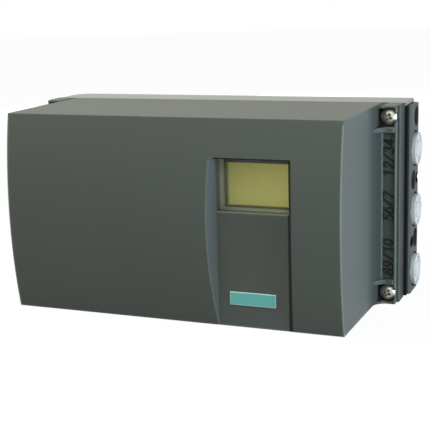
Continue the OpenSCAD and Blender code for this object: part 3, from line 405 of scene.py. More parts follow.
def recess_painted_shade(finish, across, depth, height):
    """Where shade is painted round the display recess: on its floor beside the right wall, and on the front
    over its top and past that wall, but not on the wall itself, which leans outwards."""
    wall = RECESS_RIGHT_X + RECESS_LEAN * (RECESS_FLOOR_Y - depth)
    on_wall = (across > RECESS_RIGHT_X) * (across < wall + WALL_SKIN)
    floor_edge = RECESS_RIGHT_X - SHADE_ON_FLOOR
    beside = finish.between(across, floor_edge, floor_edge + SHADE_FADE) * (1 - on_wall)
    above = (height > RECESS_TOP_Z + TOP_SKIN) * (across > RECESS_LEFT_X)
    shade_mask = above.math("MAXIMUM", above, beside) * (height < RECESS_TOP_Z + SHADE_OVER_TOP)
    return shade_mask * (across < wall + SHADE_PAST_WALL) * (depth < RECESS_FLOOR_Y + SHADE_BEHIND)


def hood_skin(name, shade, edges):
    """Hood plastic: grain, flow mottling, edges painted pale as a highlight below the top, and painted shade
    in corners, along the flares, at the flanges' seams and round the display recess."""
    finish = Finish(bpy.data.materials.new(name))
    across, depth, height = [finish.coordinate(axis) for axis in "XYZ"]
    out = finish.node("ShaderNodeMath", {"operation": "ABSOLUTE"}, {0: across})
    grit = finish.noise(1 / MOULD_GRAIN, 2.0)
    cloud = finish.noise(24.0, 3.0)
    streak = finish.noise(1.0, 2.0, finish.stretched((14, 14, 220)))
    # Painted shade in the hood's concave corners, from its own occlusion
    corners = finish.between(finish.hollow(3 * MM), 0.12, 0.6)
    # Painted shade on the flares, darker towards the flange, where they are also rougher
    flare_shade = (out > FLARE_FROM_X) * (out < FLARE_TO_X) * finish.between(depth, *FLARE_SHADE_Y)
    # Painted shade on the flanges' sides, darker towards the back, at the seam
    seam_shade = (out > FLANGE_SIDE_X) * finish.between(depth, *SEAM_SHADE_Y)
    # Painted highlight: outward edges paler, most on the front's side edges, little on the top
    highlight_weight = 0.2 + (depth < HIGHLIGHT_BEFORE_Y) * (0.4 + 0.4 * (out > HIGHLIGHT_PAST_X))
    highlight_weight = highlight_weight * (1 - 0.8 * (height > UNHIGHLIT_TOP_Z))
    edge_highlight = highlight_weight * finish.between(finish.crest(1.0 * MM), 0.05, 0.35)
    tone = finish.blend(0.6 * cloud + 0.4 * streak, shaded(shade, 0.92), shaded(shade, 1.08))
    tone = finish.blend(0.55 * corners, tone, shaded(shade, 0.3))
    tone = finish.blend(0.75 * flare_shade, tone, shaded(shade, 0.3))
    tone = finish.blend(edge_highlight, tone, shaded(shade, 2.8))
    tone = finish.blend(0.85 * seam_shade, tone, shaded(shade, 0.15))
    # Painted shade, nearly black, round the display recess
    tone = finish.blend(recess_painted_shade(finish, across, depth, height), tone, shaded(shade, 0.02))
    return finish.surface(
        Base_Color=tone, Roughness=0.4 + 0.14 * grit + 0.4 * flare_shade, Specular_IOR_Level=0.3,
        Normal=finish.bump(grit, 0.03 * MM, 0.5, edges))


def cast_paint(name, shade):
    """Painted die casting: orange peel over a faintly uneven skin, with painted shade down in its holes."""
    finish = Finish(bpy.data.materials.new(name))
    peel = finish.noise(900.0, 2.0)
    wave = finish.noise(120.0, 2.0)
    # Painted shade down in the holes
    hole_shade = finish.between(finish.hollow(8 * MM), 0.12, 0.35)
    tone = finish.blend(wave, shaded(shade, 0.93), shaded(shade, 1.06))
    tone = finish.blend(hole_shade, tone, shaded(shade, 0.03))
    return finish.surface(
        Base_Color=tone, Roughness=0.46 + 0.14 * peel, Specular_IOR_Level=0.15,
        Normal=finish.bump(peel + wave, 0.06 * MM, 0.5, 0.3 * MM))


def rubbery(name, shade):
    """Matt rubber with a dusty bloom."""
    finish = Finish(bpy.data.materials.new(name))
    dust = finish.noise(300.0, 4.0)
    tone = finish.blend(dust, shaded(shade, 0.8), shaded(shade, 1.3))
    return finish.surface(Base_Color=tone, Roughness=0.7 + 0.2 * dust, Specular_IOR_Level=0.2)


def plated(name, shade, rough=0.38, metal=1.0):
    """Plated metal: bright, with fine pits, slightly uneven gloss and painted shade down in its recesses.
    Less than 1 of metal is a plating gone dull."""
    finish = Finish(bpy.data.materials.new(name))
    pits = finish.noise(2500.0, 2.0)
    film = finish.noise(240.0, 3.0)
    # Painted shade down in recesses, such as the driver's recess
    shade_mask = finish.between(finish.hollow(1.2 * MM), 0.2, 0.5)
    tone = finish.blend(film, shaded(shade, 0.88), shade)
    tone = finish.blend(0.92 * shade_mask, tone, shaded(shade, 0.05))
    return finish.surface(
        Base_Color=tone, Metallic=metal, Roughness=rough - 0.08 + 0.16 * film,
        Normal=finish.bump(pits, 0.01 * MM, 0.4))


def turned(name, shade, axis="Y", rough=0.3):
    """Turned or drawn metal: fine tool marks that run round or along one axis."""
    finish = Finish(bpy.data.materials.new(name))
    fine, coarse = 3500, 60
    stretch = [fine if letter == axis else coarse for letter in "XYZ"]
    marks = finish.noise(1.0, 2.0, finish.stretched(stretch))
    tone = finish.blend(marks, shaded(shade, 0.82), shade)
    return finish.surface(
        Base_Color=tone, Metallic=1.0, Roughness=rough - 0.1 + 0.2 * marks,
        Normal=finish.bump(marks, 0.008 * MM, 0.5, 0.15 * MM))


def clear_pane(name, border):
    """Clear plastic with a soft gloss, black beyond a border to the right: painted shade where the recess's
    right wall shades the display.
    """
    finish = Finish(bpy.data.materials.new(name))
    smear = finish.noise(160.0, 3.0)
    # Painted shade: black to the right of the border
    pane_shade = finish.coordinate("X") > border
    tone = finish.blend(pane_shade, (0.75, 0.78, 0.74), (0.006, 0.006, 0.006))
    return finish.surface(
        Base_Color=tone, Roughness=0.05 + 0.08 * smear, Specular_IOR_Level=0.1,
        Alpha=0.05 + 0.05 * smear + 0.9 * pane_shade)


def display_face(name, shade, left, low, shaded_above):
    """Display: yellow-green with a fine dot grid, painted light that brightens it to the lower right, a
    margin of painted shade left and low, black painted shade above a height under the recess's top edge, and
    a faint glow of painted light."""
    finish = Finish(bpy.data.materials.new(name))
    across = finish.coordinate("X")
    height = finish.coordinate("Z")
    cloud = finish.noise(70.0, 2.0)
    cells = finish.grid(finish.place(), (0.5 * MM, 0.5 * MM), 0.04 * MM, (1, 0.9))
    # Painted light: brighter towards the lower right
    painted_light = finish.between(across - height, left - shaded_above, left + DISPLAY_SPAN - low)
    tone = finish.blend(0.8 * painted_light + 0.2 * cloud, shaded(shade, 0.78), shaded(shade, 1.25))
    tone = finish.node("ShaderNodeMix", {"data_type": "RGBA", "blend_type": "MULTIPLY"}, {
        0: 1.0, 6: tone, 7: cells}, 2)
    # Painted shade: a dark margin along the left and low edges
    fade = 0.5 * MM
    clear_across = finish.between(across, left - fade, left + 2 * fade)
    edge_shade = 1 - clear_across * finish.between(height, low - fade, low)
    tone = finish.blend(0.92 * edge_shade, tone, shaded(shade, 0.08))
    # Painted shade: black above the height under the recess's top edge
    tone = finish.blend(height > shaded_above, tone, (0.012, 0.013, 0.012))
    # The emission is a faint glow of painted light
    return finish.surface(
        Base_Color=tone, Roughness=0.3 + 0.1 * cloud, Coat_Weight=0.3, Coat_Roughness=0.05,
        Emission_Color=tone, Emission_Strength=0.25)


def soft_plastic(name, shade):
    """Soft pale plastic that lets a little light through."""
    finish = Finish(bpy.data.materials.new(name))
    cloud = finish.noise(200.0, 3.0)
    tone = finish.blend(cloud, shaded(shade, 0.92), shade)
    return finish.surface(
        Base_Color=tone, Roughness=0.36 + 0.12 * cloud, Subsurface_Weight=0.3, Subsurface_Radius=(1, 1, 1),
        Subsurface_Scale=2 * MM, Normal=finish.bump(cloud, 0.05 * MM, 0.4, 0.5 * MM))


def circuit_mask(name, shade):
    """Solder mask with tracks under it and a scatter of vias."""
    finish = Finish(bpy.data.materials.new(name))
    flat = finish.stretched((1, 0, 1))
    lanes = finish.grid(flat, (14 * MM, 1.6 * MM), 0.18 * MM, (0, 1), offset=0.37)
    vias = finish.node("ShaderNodeTexVoronoi", {"voronoi_dimensions": "3D"}, {
        "Vector": flat, "Scale": 160.0}, "Distance") < 0.11
    tone = finish.blend(lanes, shade, shaded(shade, 1.7))
    tone = finish.blend(vias, tone, (0.6, 0.55, 0.4))
    return finish.surface(Base_Color=tone, Roughness=0.32 + 0.1 * vias, Coat_Weight=0.2, Metallic=0.6 * vias)


def ribbon(name, shade):
    """Flat cable: ribbed lengthwise."""
    finish = Finish(bpy.data.materials.new(name))
    wires = finish.node("ShaderNodeTexWave", {"wave_type": "BANDS", "bands_direction": "Z"}, {
        "Vector": finish.place(), "Scale": 500.0, "Distortion": 0.0})
    tone = finish.blend(wires, shaded(shade, 0.62), shade)
    return finish.surface(Base_Color=tone, Roughness=0.42, Normal=finish.bump(wires, 0.2 * MM, 0.6))


def sintered(name, shade):
    """Sintered bronze: fused grains."""
    finish = Finish(bpy.data.materials.new(name))
    grains = finish.node("ShaderNodeTexVoronoi", {"voronoi_dimensions": "3D"}, {
        "Vector": finish.place(), "Scale": 1800.0}, "Distance")
    tone = finish.blend(grains, shaded(shade, 1.1), shaded(shade, 0.35))
    return finish.surface(
        Base_Color=tone, Metallic=0.9, Roughness=0.42, Normal=finish.bump(grains, 0.3 * MM, 0.9))


def plate_face(name, shade, rim, rim_width):
    """Bare lacquered plate with a pale rim; its UV map counts millimetres from the edge."""
    finish = Finish(bpy.data.materials.new(name))
    from_edge = finish.node("ShaderNodeSeparateXYZ", None, {
        "Vector": finish.node("ShaderNodeUVMap", {"uv_map": "edge"})}, "X")
    cloud = finish.noise(260.0, 3.0)
    lacquer = finish.blend(cloud, shaded(shade, 0.92), shaded(shade, 1.06))
    tone = finish.blend(from_edge < rim_width / MM, lacquer, rim)
    return finish.surface(Base_Color=tone, Roughness=0.3 + 0.1 * cloud, Coat_Weight=0.25)


def grid_quads(rows, columns, wrap=True):
    """Quads between the points of a grid, row by row; wrap joins the last column to the first."""
    across = columns if wrap else columns - 1
    row, column = np.meshgrid(np.arange(rows - 1), np.arange(across), indexing="ij")
    after = (column + 1) % columns
    quads = np.stack([row * columns + column, row * columns + after, (row + 1) * columns + after,
                      (row + 1) * columns + column], axis=-1)
    return quads.reshape(-1, 4)


def closed_tube(grid):
    """A closed shape from a grid of points whose columns run round: quads between the rows, and a fan of
    triangles from the mean of the first row and of the last row. Gives points, quads and triangles."""
    rows, columns, _ = grid.shape
    points = np.concatenate([grid.reshape(-1, 3), grid[[0, -1]].mean(axis=1)])
    around = np.arange(columns)
    after = (around + 1) % columns
    last = (rows - 1) * columns
    first_fan = np.stack([after, around, np.full(columns, rows * columns)], axis=-1)
    last_fan = np.stack([last + around, last + after, np.full(columns, rows * columns + 1)], axis=-1)
    return points, grid_quads(rows, columns), np.concatenate([first_fan, last_fan])


def joined(shapes):
    """Several shapes as one."""
    starts = np.cumsum([0] + [len(points) for points, _, _ in shapes[:-1]])
    points = np.concatenate([points for points, _, _ in shapes])
    quads = np.concatenate([quads + start for start, (_, quads, _) in zip(starts, shapes)])
    triangles = np.concatenate([fans + start for start, (_, _, fans) in zip(starts, shapes)])
    return points, quads, triangles


def placed(shape, axes, places):
    """Copies of a shape, turned so that its own axes point along the rows of axes, at several places."""
    points, quads, triangles = shape
    return joined([(points @ axes + np.array(place), quads, triangles) for place in places])


def turned_shape(profile, steps):
    """A closed shape of revolution: each (radius, height) of the profile, with the radius times the cosine
    and the sine of the turn."""
    turn = np.linspace(0, 2 * np.pi, steps, endpoint=False)
    radius, height = np.array(profile).T[:, :, None]
    level = np.broadcast_to(height, (len(height), steps))
    return closed_tube(np.stack([radius * np.cos(turn), radius * np.sin(turn), level], axis=-1))


def rounded_rectangle(half_width, half_height, radius, steps=6):
    """Outline of a rectangle with round corners: a quarter turn about each corner's middle."""
    quarter = np.linspace(0, np.pi / 2, steps)
    turn = np.concatenate([quarter + corner * np.pi / 2 for corner in range(4)])
    side = np.repeat([[1, 1], [-1, 1], [-1, -1], [1, -1]], steps, axis=0)
    middle = side * [half_width - radius, half_height - radius]
    return middle + radius * np.stack([np.cos(turn), np.sin(turn)], axis=-1)


def lifted(rings, level):
    """Flat rings of points, each ring at its own level along Z."""
    return np.concatenate([rings, np.broadcast_to(level[:, None, None], (*rings.shape[:2], 1))], axis=-1)


def rounded_block(size, radius):
    """A block on the plane Z = 0: rounded rectangles, inset and lifted round its upper edge."""
    turn = np.linspace(0, np.pi / 2, 4)
    inset = np.concatenate([[0], radius * (1 - np.cos(turn))])
    level = np.concatenate([[0], size[2] - radius + radius * np.sin(turn)])
    rings = [rounded_rectangle(size[0] / 2 - step, size[1] / 2 - step, radius) for step in inset]
    return closed_tube(lifted(np.stack(rings), level))


def ramp(value, soft):
    """0 below -soft / 2, 1 above soft / 2 and even in between."""
    return np.clip(value / soft + 0.5, 0, 1)


def driver_recess(x, y, radius, kind):
    """How deep the driver's recess is, as a share: a slot across the head, or a cross that gets shallower
    outwards."""
    soft = 0.07 * radius
    half = 0.13 * radius
    if kind == "slot":
        return ramp(half - np.abs(y), soft)
    arm = 0.46 * radius
    cross = np.maximum(ramp(half - np.abs(x), soft) * ramp(arm - np.abs(y), soft),
                       ramp(half - np.abs(y), soft) * ramp(arm - np.abs(x), soft))
    hub = ramp(2.1 * half - np.abs(x) - np.abs(y), soft)
    return np.maximum(cross, hub) * (1 - 0.5 * np.hypot(x, y) / arm)


def screw_shape(radius, rise, shank, depth, pitch, kind, steps):
    """A pan-head screw about Z, with its seat on Z = 0. Along the shank the radius falls from the crest by
    0.6 of the pitch times a triangle wave of height over pitch less turn, which is the thread. The head has
    a round side and a dome that falls with the square of the radius, less the driver's recess."""
    turn = np.linspace(0, 2 * np.pi, steps, endpoint=False)
    along = np.arange(-depth, 0, pitch / 6)[:, None]
    wave = np.abs(2 * ((along / pitch - turn / (2 * np.pi)) % 1) - 1)
    taper = np.clip((along + depth) / (2 * pitch), 0, 1)
    thread = shank - 0.6 * pitch * (wave * taper + 1 - taper)
    side = np.linspace(-1, 0, 5)[:, None] * np.pi / 2
    edge = 0.24 * rise
    side_radius = np.concatenate([[[shank]], radius - edge + edge * np.cos(side)])
    side_level = np.concatenate([[[0]], edge + edge * np.sin(side)])
    dome = np.linspace(1, 0.02, max(8, steps // 3))[:, None] * radius
    crown = 2 * edge + (rise - 2 * edge) * (1 - (dome / radius) ** 2)
    askew = turn + DRIVER_TURN
    sunk = 0.45 * rise * driver_recess(dome * np.cos(askew), dome * np.sin(askew), radius, kind)
    wide = np.concatenate([thread, np.broadcast_to(side_radius, (len(side_radius), steps)),
                           np.broadcast_to(dome, (len(dome), steps))])
    level = np.concatenate([np.broadcast_to(along, thread.shape),
                            np.broadcast_to(side_level, (len(side_level), steps)), crown - sunk])
    return closed_tube(np.stack([wide * np.cos(turn), wide * np.sin(turn), level], axis=-1))


def bored_thread(radius, crest, pitch, depth, steps=40):
    """A thread ridge in a bore about Z: a triangle carried along a helix, its inner corner at the crest and
    its other two in the wall, drawn out into the wall at both ends."""
    turns = np.linspace(0, depth / pitch - 1, int(steps * (depth / pitch - 1)))
    fade = np.clip(np.minimum(turns, turns[-1] - turns) * 2, 0.05, 1)
    rooted = 0.15 * MM
    wall = np.full(len(turns), radius + rooted)
    wide = np.stack([wall, radius - (radius - crest) * fade, wall], axis=-1)
    level = (turns[:, None] + np.array([0.1, 0.5, 0.9])) * pitch - depth
    angle = 2 * np.pi * turns[:, None]
    return closed_tube(np.stack([wide * np.cos(angle), wide * np.sin(angle), level], axis=-1))


def stroke_path(stroke):
    """Points along a stroke: a straight line of two ends, or an arc of middle, two radii and two angles."""
    if len(stroke) == 4:
        return np.linspace(stroke[:2], stroke[2:], 6)
    turn = np.radians(np.linspace(stroke[4], stroke[5], 28))
    return np.stack([stroke[0] + stroke[2] * np.cos(turn), stroke[1] + stroke[3] * np.sin(turn)], axis=-1)


def ridge(path, width, rise):
    """A ridge of half-round section along a flat path. At each end the section shrinks as the cosine of an
    angle while the path runs on by half the width times its sine."""
    along = np.gradient(path, axis=0)
    along /= np.linalg.norm(along, axis=1, keepdims=True)
    end = np.radians([20, 40, 60, 80])
    reach = 0.5 * width * np.sin(end)[:, None]
    path = np.concatenate([path[0] - along[0] * reach[::-1], path, path[-1] + along[-1] * reach])
    along = np.concatenate([np.repeat(along[:1], 4, axis=0), along, np.repeat(along[-1:], 4, axis=0)])
    share = np.concatenate([np.cos(end)[::-1], np.ones(len(path) - 8), np.cos(end)])[:, None]
    turn = np.linspace(0, 2 * np.pi, 10, endpoint=False)
    across = 0.5 * width * share * np.cos(turn)
    level = rise * share * np.sin(turn)
    side = along[:, ::-1] * [-1, 1]
    flat = path[:, None] + side[:, None] * across[:, :, None]
    return closed_tube(np.concatenate([flat, level[:, :, None]], axis=-1))


def gull_leg(reach, rise, width, thickness):
    """A chip's leg: a flat strip that leaves along X at the rise, steps down to Z = 0 and runs on."""
    path = np.array([[-0.2, 1], [0.3, 1], [0.45, 0.9], [0.6, 0.1], [0.7, 0], [1, 0]]) * [reach, rise]
    down = np.array([0, 0, 1, 1])
    side = np.array([-1, 1, 1, -1])
    level = path[:, 1:] + thickness * (1 - down)
    across = np.broadcast_to(0.5 * width * side, level.shape)
    return closed_tube(np.stack([np.broadcast_to(path[:, :1], level.shape), across, level], axis=-1))


def mesh_piece(name, shape, material, body):
    """A new piece from a shape, riding on a body, with its normals turned outwards."""
    points, quads, triangles = shape
    mesh = bpy.data.meshes.new(name)
    mesh.from_pydata(points.tolist(), [], quads.tolist() + triangles.tolist())
    work = bmesh.new()
    work.from_mesh(mesh)
    bmesh.ops.recalc_face_normals(work, faces=work.faces)
    work.to_mesh(mesh)
    work.free()
    mesh.polygons.foreach_set("use_smooth", np.ones(len(mesh.polygons), dtype=bool))
    mesh.set_sharp_from_angle(angle=SHARP_ANGLE)
    mesh.materials.append(material)
    piece = bpy.data.objects.new(name, mesh)
    bpy.context.scene.collection.objects.link(piece)
    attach(piece, body)
    return piece


def dress(nodes, material, rounding=0.0):
    """Gives CAD nodes a finish and, where asked, rounds their edges."""
    for name in nodes:
        node = frame["nodes"][name]
        node.data.materials.clear()
        node.data.materials.append(material)
        if rounding:
            weld = node.modifiers.new("weld", "WELD")
            weld.merge_threshold = 0.002 * MM
            bevel = node.modifiers.new("rounding", "BEVEL")
            bevel.width = rounding
            bevel.segments = 3
            bevel.limit_method = "ANGLE"
            bevel.angle_limit = math.radians(35)
            bevel.miter_outer = "MITER_ARC"
            normals = node.modifiers.new("normals", "WEIGHTED_NORMAL")
            normals.keep_sharp = True


def settings():
    """The sizes and colours of this scene."""
    return bpy.context.scene.positioner_sizes, bpy.context.scene.positioner_colours


class POSITIONER_OT_stage(bpy.types.Operator):
    """Pale floor, soft lamps, a white surround and the camera"""
    bl_idname = "positioner.stage"
    bl_label = "Stage"

    def execute(self, context):
        scene = context.scene
        scene.view_settings.view_transform = "Standard"
        self.floor()
        self.surround(scene)
        for name, place, aim, size, watts, tint in LAMPS:
            self.lamp(name, place, aim, size, watts, tint)
        self.camera(scene)
        return {"FINISHED"}

    def floor(self):
        """A flat ring: radius times cosine and sine of the turn."""
        rings, steps = 12, 64
        turn = np.linspace(0, 2 * np.pi, steps, endpoint=False)
        radius = np.linspace(FLOOR_HOLE, FLOOR_RADIUS, rings)[:, None]
        level = np.full((rings, steps), CAD_BOX[0].z - FLOOR_GAP)
        points = np.stack([radius * np.cos(turn), radius * np.sin(turn), level], axis=-1)
        mesh = bpy.data.meshes.new("floor")
        mesh.from_pydata(points.reshape(-1, 3).tolist(), [], grid_quads(rings, steps).tolist())
        finish = Finish(bpy.data.materials.new("floor"))
        seen = finish.ray("Camera") + GLOSS_WHITE * finish.ray("Glossy")
        pale = finish.node("ShaderNodeBsdfDiffuse", None, {"Color": (0.9, 0.9, 0.9, 1)})
        white = finish.node("ShaderNodeEmission", None, {"Color": (1, 1, 1, 1), "Strength": 1.0})
        matt = finish.node("ShaderNodeBsdfDiffuse", None, {"Color": (*[FLOOR_SHADE] * 3, 1)})
        shown = finish.node("ShaderNodeMixShader", None, {0: FLOOR_WHITE, 1: pale, 2: white})
        mixed = finish.node("ShaderNodeMixShader", None, {0: seen, 1: matt, 2: shown})
        finish.node("ShaderNodeOutputMaterial", None, {"Surface": mixed})
        mesh.materials.append(finish.holder)
        floor = bpy.data.objects.new("floor", mesh)
        bpy.context.scene.collection.objects.link(floor)

    def surround(self, scene):
        """White to the camera, to gloss and through glass; a dim even light otherwise."""
        finish = Finish(bpy.data.worlds.new("surround"))
        seen = finish.ray("Camera") + finish.ray("Transmission") + GLOSS_WHITE * finish.ray("Glossy")
        strength = AMBIENT + (1 - AMBIENT) * finish.node("ShaderNodeClamp", None, {"Value": seen})
        background = finish.node("ShaderNodeBackground", None, {"Color": (1, 1, 1, 1), "Strength": strength})
        finish.node("ShaderNodeOutputWorld", None, {"Surface": background})
        scene.world = finish.holder

    def lamp(self, name, place, aim, size, watts, tint):
        """A rectangular area lamp, turned to face its aim."""
        lamp = bpy.data.lights.new(name, "AREA")
        lamp.shape = "RECTANGLE"
        lamp.size, lamp.size_y = size
        lamp.energy = watts
        lamp.color = tint
        holder = bpy.data.objects.new(name, lamp)
        holder.location = place
        toward = np.subtract(aim, place)
        azimuth = math.atan2(toward[1], toward[0]) - math.pi / 2
        tilt = math.acos(-toward[2] / np.linalg.norm(toward))
        holder.rotation_euler = (tilt, 0, azimuth)
        bpy.context.scene.collection.objects.link(holder)

    def camera(self, scene):
        """Standing before the right front, a little above, as the photograph was taken."""
        camera = bpy.data.cameras.new("camera")
        camera.sensor_width = 36
        camera.lens = CAMERA_LENS
        camera.clip_start = 0.01
        camera.clip_end = 20
        holder = bpy.data.objects.new("camera", camera)
        holder.location = CAMERA_PLACE
        look = Matrix.Rotation(math.radians(CAMERA_AZIMUTH), 3, "Z")
        look = look @ Matrix.Rotation(math.radians(90 - CAMERA_ELEVATION), 3, "X")
        look = look @ Matrix.Rotation(math.radians(CAMERA_ROLL), 3, "Z")
        holder.rotation_euler = look.to_euler()
        scene.collection.objects.link(holder)
        scene.camera = holder


class POSITIONER_OT_housing(bpy.types.Operator):
    """Finishes of hood, base, manifold and gaskets"""
    bl_idname = "positioner.housing"
    bl_label = "Housing"

    def execute(self, context):
        sizes, colours = settings()
        dress(["front_cover"], hood_skin("hood_plastic", colours.hood, sizes.edge_round))
        dress(["base_housing"], moulded("base_plastic", colours.base, edges=0.9 * MM))
        dress(["manifold_block"], cast_paint("manifold_paint", colours.manifold))
        gaskets = ["cover_gasket", "manifold_gasket"]
        seals = ["port_seals", "shaft_seal", "cable_gland_seal", "entry_seals"]
        dress(gaskets + seals, rubbery("black_rubber", colours.rubber))
        return {"FINISHED"}


class POSITIONER_OT_cover_screws(bpy.types.Operator):
    """Four domed cross-recess screws with threads, in place of the plain ones"""
    bl_idname = "positioner.cover_screws"
    bl_label = "Cover screws"

    def execute(self, context):
        sizes, colours = settings()
        low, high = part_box("cover_screws")
        seat = low.y + sizes.screw_rise
        shape = screw_shape(
            sizes.screw_head / 2, sizes.screw_rise, shank=sizes.screw_shank / 2, depth=high.y - seat,
            pitch=sizes.screw_pitch, kind="cross", steps=120)
        across, up = [(low[axis] + SOURCE_HEAD_RADIUS, high[axis] - SOURCE_HEAD_RADIUS) for axis in (0, 2)]
        places = [(x, seat, z) for x in across for z in up]
        nickel = plated("nickel_plate", colours.nickel, metal=0.85)
        piece = mesh_piece("captive_screws", placed(shape, TO_FRONT, places), nickel, "cover")
        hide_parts("cover_screws")
        return {"FINISHED"}


class POSITIONER_OT_rib_ends(bpy.types.Operator):
    """Ends of the four flange ribs, which climb the flares and die into the side walls"""
    bl_idname = "positioner.rib_ends"
    bl_label = "Rib ends"

    def execute(self, context):
        sizes, _ = settings()
        shape = self.shape(sizes.rib_width, sizes.rib_proud)
        places = [(0, 0, -RIB_MIDDLE_Z), (0, 0, RIB_MIDDLE_Z)]
        sides = [placed(shape, np.diag([side, 1, 1]), places) for side in (-1, 1)]
        mesh_piece("rib_ends", joined(sides), bpy.data.materials["hood_plastic"], "cover")
        return {"FINISHED"}

    def shape(self, width, proud):
        """A rounded bar carried round the flare's middle, its depth along the radius and its width along Z.
        Near the wall the radius grows with the square of the turn, which sinks the bar into the wall."""
        wall_end, sinks_from, flange_end = 170, 152, 100
        degrees = np.linspace(wall_end, flange_end, 18)[:, None]
        sunk = np.clip((degrees - sinks_from) / (wall_end - sinks_from), 0, 1) ** 2
        rooted = 0.6 * MM
        depth = proud + rooted
        bar = rounded_rectangle(depth / 2, width / 2, 0.4 * MM)
        radius = FLARE_RADIUS - proud + depth / 2 + proud * sunk + bar[:, 0]
        turn = np.radians(degrees)
        across = FLARE_MIDDLE_X + radius * np.cos(turn)
        forward = FLARE_MIDDLE_Y + radius * np.sin(turn)
        return closed_tube(np.stack([across, forward, np.broadcast_to(bar[:, 1], across.shape)], axis=-1))


class POSITIONER_OT_port_numbers(bpy.types.Operator):
    """Plain raised numbers along the right channel, reading upwards"""
    bl_idname = "positioner.port_numbers"
    bl_label = "Port numbers"

    def execute(self, context):
        sizes, colours = settings()
        shapes = []
        for text, start in PORT_NUMBERS:
            for index, sign in enumerate(text):
                for stroke in STROKES[sign]:
                    path = stroke_path(stroke)
                    slanted = path @ np.array([[1, 0], [MARK_SLANT, 1]])
                    begin = [index * sizes.mark_advance + start * MM, -sizes.mark_height / 2]
                    flat = slanted * sizes.mark_height + begin
                    shapes.append(ridge(flat, sizes.mark_stroke, sizes.mark_rise))
        upwards = np.array([[0, 0, 1], [-1, 0, 0], [0, -1, 0]])
        shape = placed(joined(shapes), upwards, [(CHANNEL_MIDDLE_X, CHANNEL_FLOOR_Y, 0)])
        # The numbers are the hood's plastic made dark: painted shade for the shadows round the raised strokes
        dark = moulded("number_plastic", shaded(colours.hood, 0.12))
        mesh_piece("port_numbers", shape, dark, "cover")
        return {"FINISHED"}


class POSITIONER_OT_mount_threads(bpy.types.Operator):
    """Threads in the four mounting bores at the back"""
    bl_idname = "positioner.mount_threads"
    bl_label = "Mounting threads"

    def execute(self, context):
        sizes, _ = settings()
        crest = MOUNT_RADIUS - 0.3 * sizes.mount_pitch
        shape = bored_thread(MOUNT_RADIUS, crest, sizes.mount_pitch, MOUNT_DEPTH)
        places = [(x, 0, z) for x in (-MOUNT_X, MOUNT_X) for z in (-MOUNT_Z, MOUNT_Z)]
        plastic = bpy.data.materials["base_plastic"]
        mesh_piece("mount_threads", placed(shape, TO_BACK, places), plastic, "housing")
        return {"FINISHED"}


class POSITIONER_OT_display(bpy.types.Operator):
    """Finishes of the window, its seal, the display, its frame and the keys"""
    bl_idname = "positioner.display"
    bl_label = "Display"

    def execute(self, context):
        _, colours = settings()
        dress(["window_pane"], clear_pane("clear_pane", PANE_SHADE_X))
        dress(["window_seal"], moulded("window_frame", colours.frame))
        dress(["lcd_glass"], display_face(
            "display_glass", colours.display, DISPLAY_LEFT_X, DISPLAY_LOW_Z, DISPLAY_SHADED_Z))
        dress(["display_frame", "switch_bodies"], moulded("display_frame", colours.black), rounding=0.2 * MM)
        keys = ["button_left", "button_middle", "button_right"]
        dress(keys, moulded("key_plastic", colours.key), rounding=0.3 * MM)
        return {"FINISHED"}


class POSITIONER_OT_label_plate(bpy.types.Operator):
    """Bare plate at the bottom of the display recess"""
    bl_idname = "positioner.label_plate"
    bl_label = "Bare plate"

    def execute(self, context):
        sizes, colours = settings()
        shape, from_edge = self.shape(sizes)
        material = plate_face("plate_lacquer", colours.plate, colours.plate_rim, sizes.plate_rim)
        plate = mesh_piece("bare_plate", shape, material, "cover")
        layer = plate.data.uv_layers.new(name="edge")
        corner = np.empty(len(plate.data.loops), dtype=np.int32)
        plate.data.loops.foreach_get("vertex_index", corner)
        layer.data.foreach_set("uv", np.repeat(from_edge[corner] / MM, 2))
        return {"FINISHED"}

    def shape(self, sizes):
        """Rounded rectangles, ring by ring inset from the outline, up the edge and over the face."""
        inset = np.array([0, 0, 0.1, 0.25, 0.44, 0.46, 0.8, 1.6, 2.6]) * MM
        level = np.array([0, 0.6, 0.9, 1, 1, 1, 1, 1, 1]) * sizes.plate_rise
        half = np.array([sizes.plate_width, sizes.plate_height]) / 2
        corners = np.maximum(sizes.plate_corner - inset, 0.05 * MM)
        rings = np.stack([rounded_rectangle(*(half - step), corner) for step, corner in zip(inset, corners)])
        grid = lifted(rings, level)
        middle = (sizes.plate_middle_x, RECESS_FLOOR_Y, -sizes.plate_drop)
        from_edge = np.append(np.repeat(inset, rings.shape[1]), [0, sizes.plate_height / 2])
        return placed(closed_tube(grid), TO_FRONT, [middle]), from_edge


class POSITIONER_OT_terminals(bpy.types.Operator):
    """Terminal blocks, with their screws and the solder joints behind the board"""
    bl_idname = "positioner.terminals"
    bl_label = "Terminals"

    def execute(self, context):
        sizes, colours = settings()
        blocks = ["terminal_block_upper", "terminal_block_lower"]
        dress(blocks, moulded("terminal_plastic", colours.terminal), rounding=0.25 * MM)
        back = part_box("main_board")[1].y
        head_rise = 1.2 * MM
        heads, joints = [], []
        for block in blocks:
            low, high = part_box(block)
            for way in range(TERMINAL_WAYS):
                up = low.z + (high.z - low.z) * (way + 0.5) / TERMINAL_WAYS
                middle = (low.x + high.x) / 2
                heads.append((middle, low.y + sizes.terminal_well + head_rise, up))
                joints.append((middle, back, up))
        screw = screw_shape(
            sizes.terminal_screw / 2, head_rise, shank=0.9 * MM, depth=0.3 * MM, pitch=0.25 * MM, kind="slot",
            steps=48)
        zinc = plated("zinc_plate", colours.steel, rough=0.3)
        mesh_piece("terminal_screws", placed(screw, TO_FRONT, heads), zinc, "housing")
        cone = np.array([(1.0, 0), (0.95, 0.15), (0.5, 0.7), (0.4, 1.2), (0.15, 1.35)]) * MM
        solder = plated("solder", colours.solder, rough=0.3)
        joint = turned_shape(cone, 16)
        mesh_piece("solder_joints", placed(joint, TO_BACK, joints), solder, "housing")
        return {"FINISHED"}


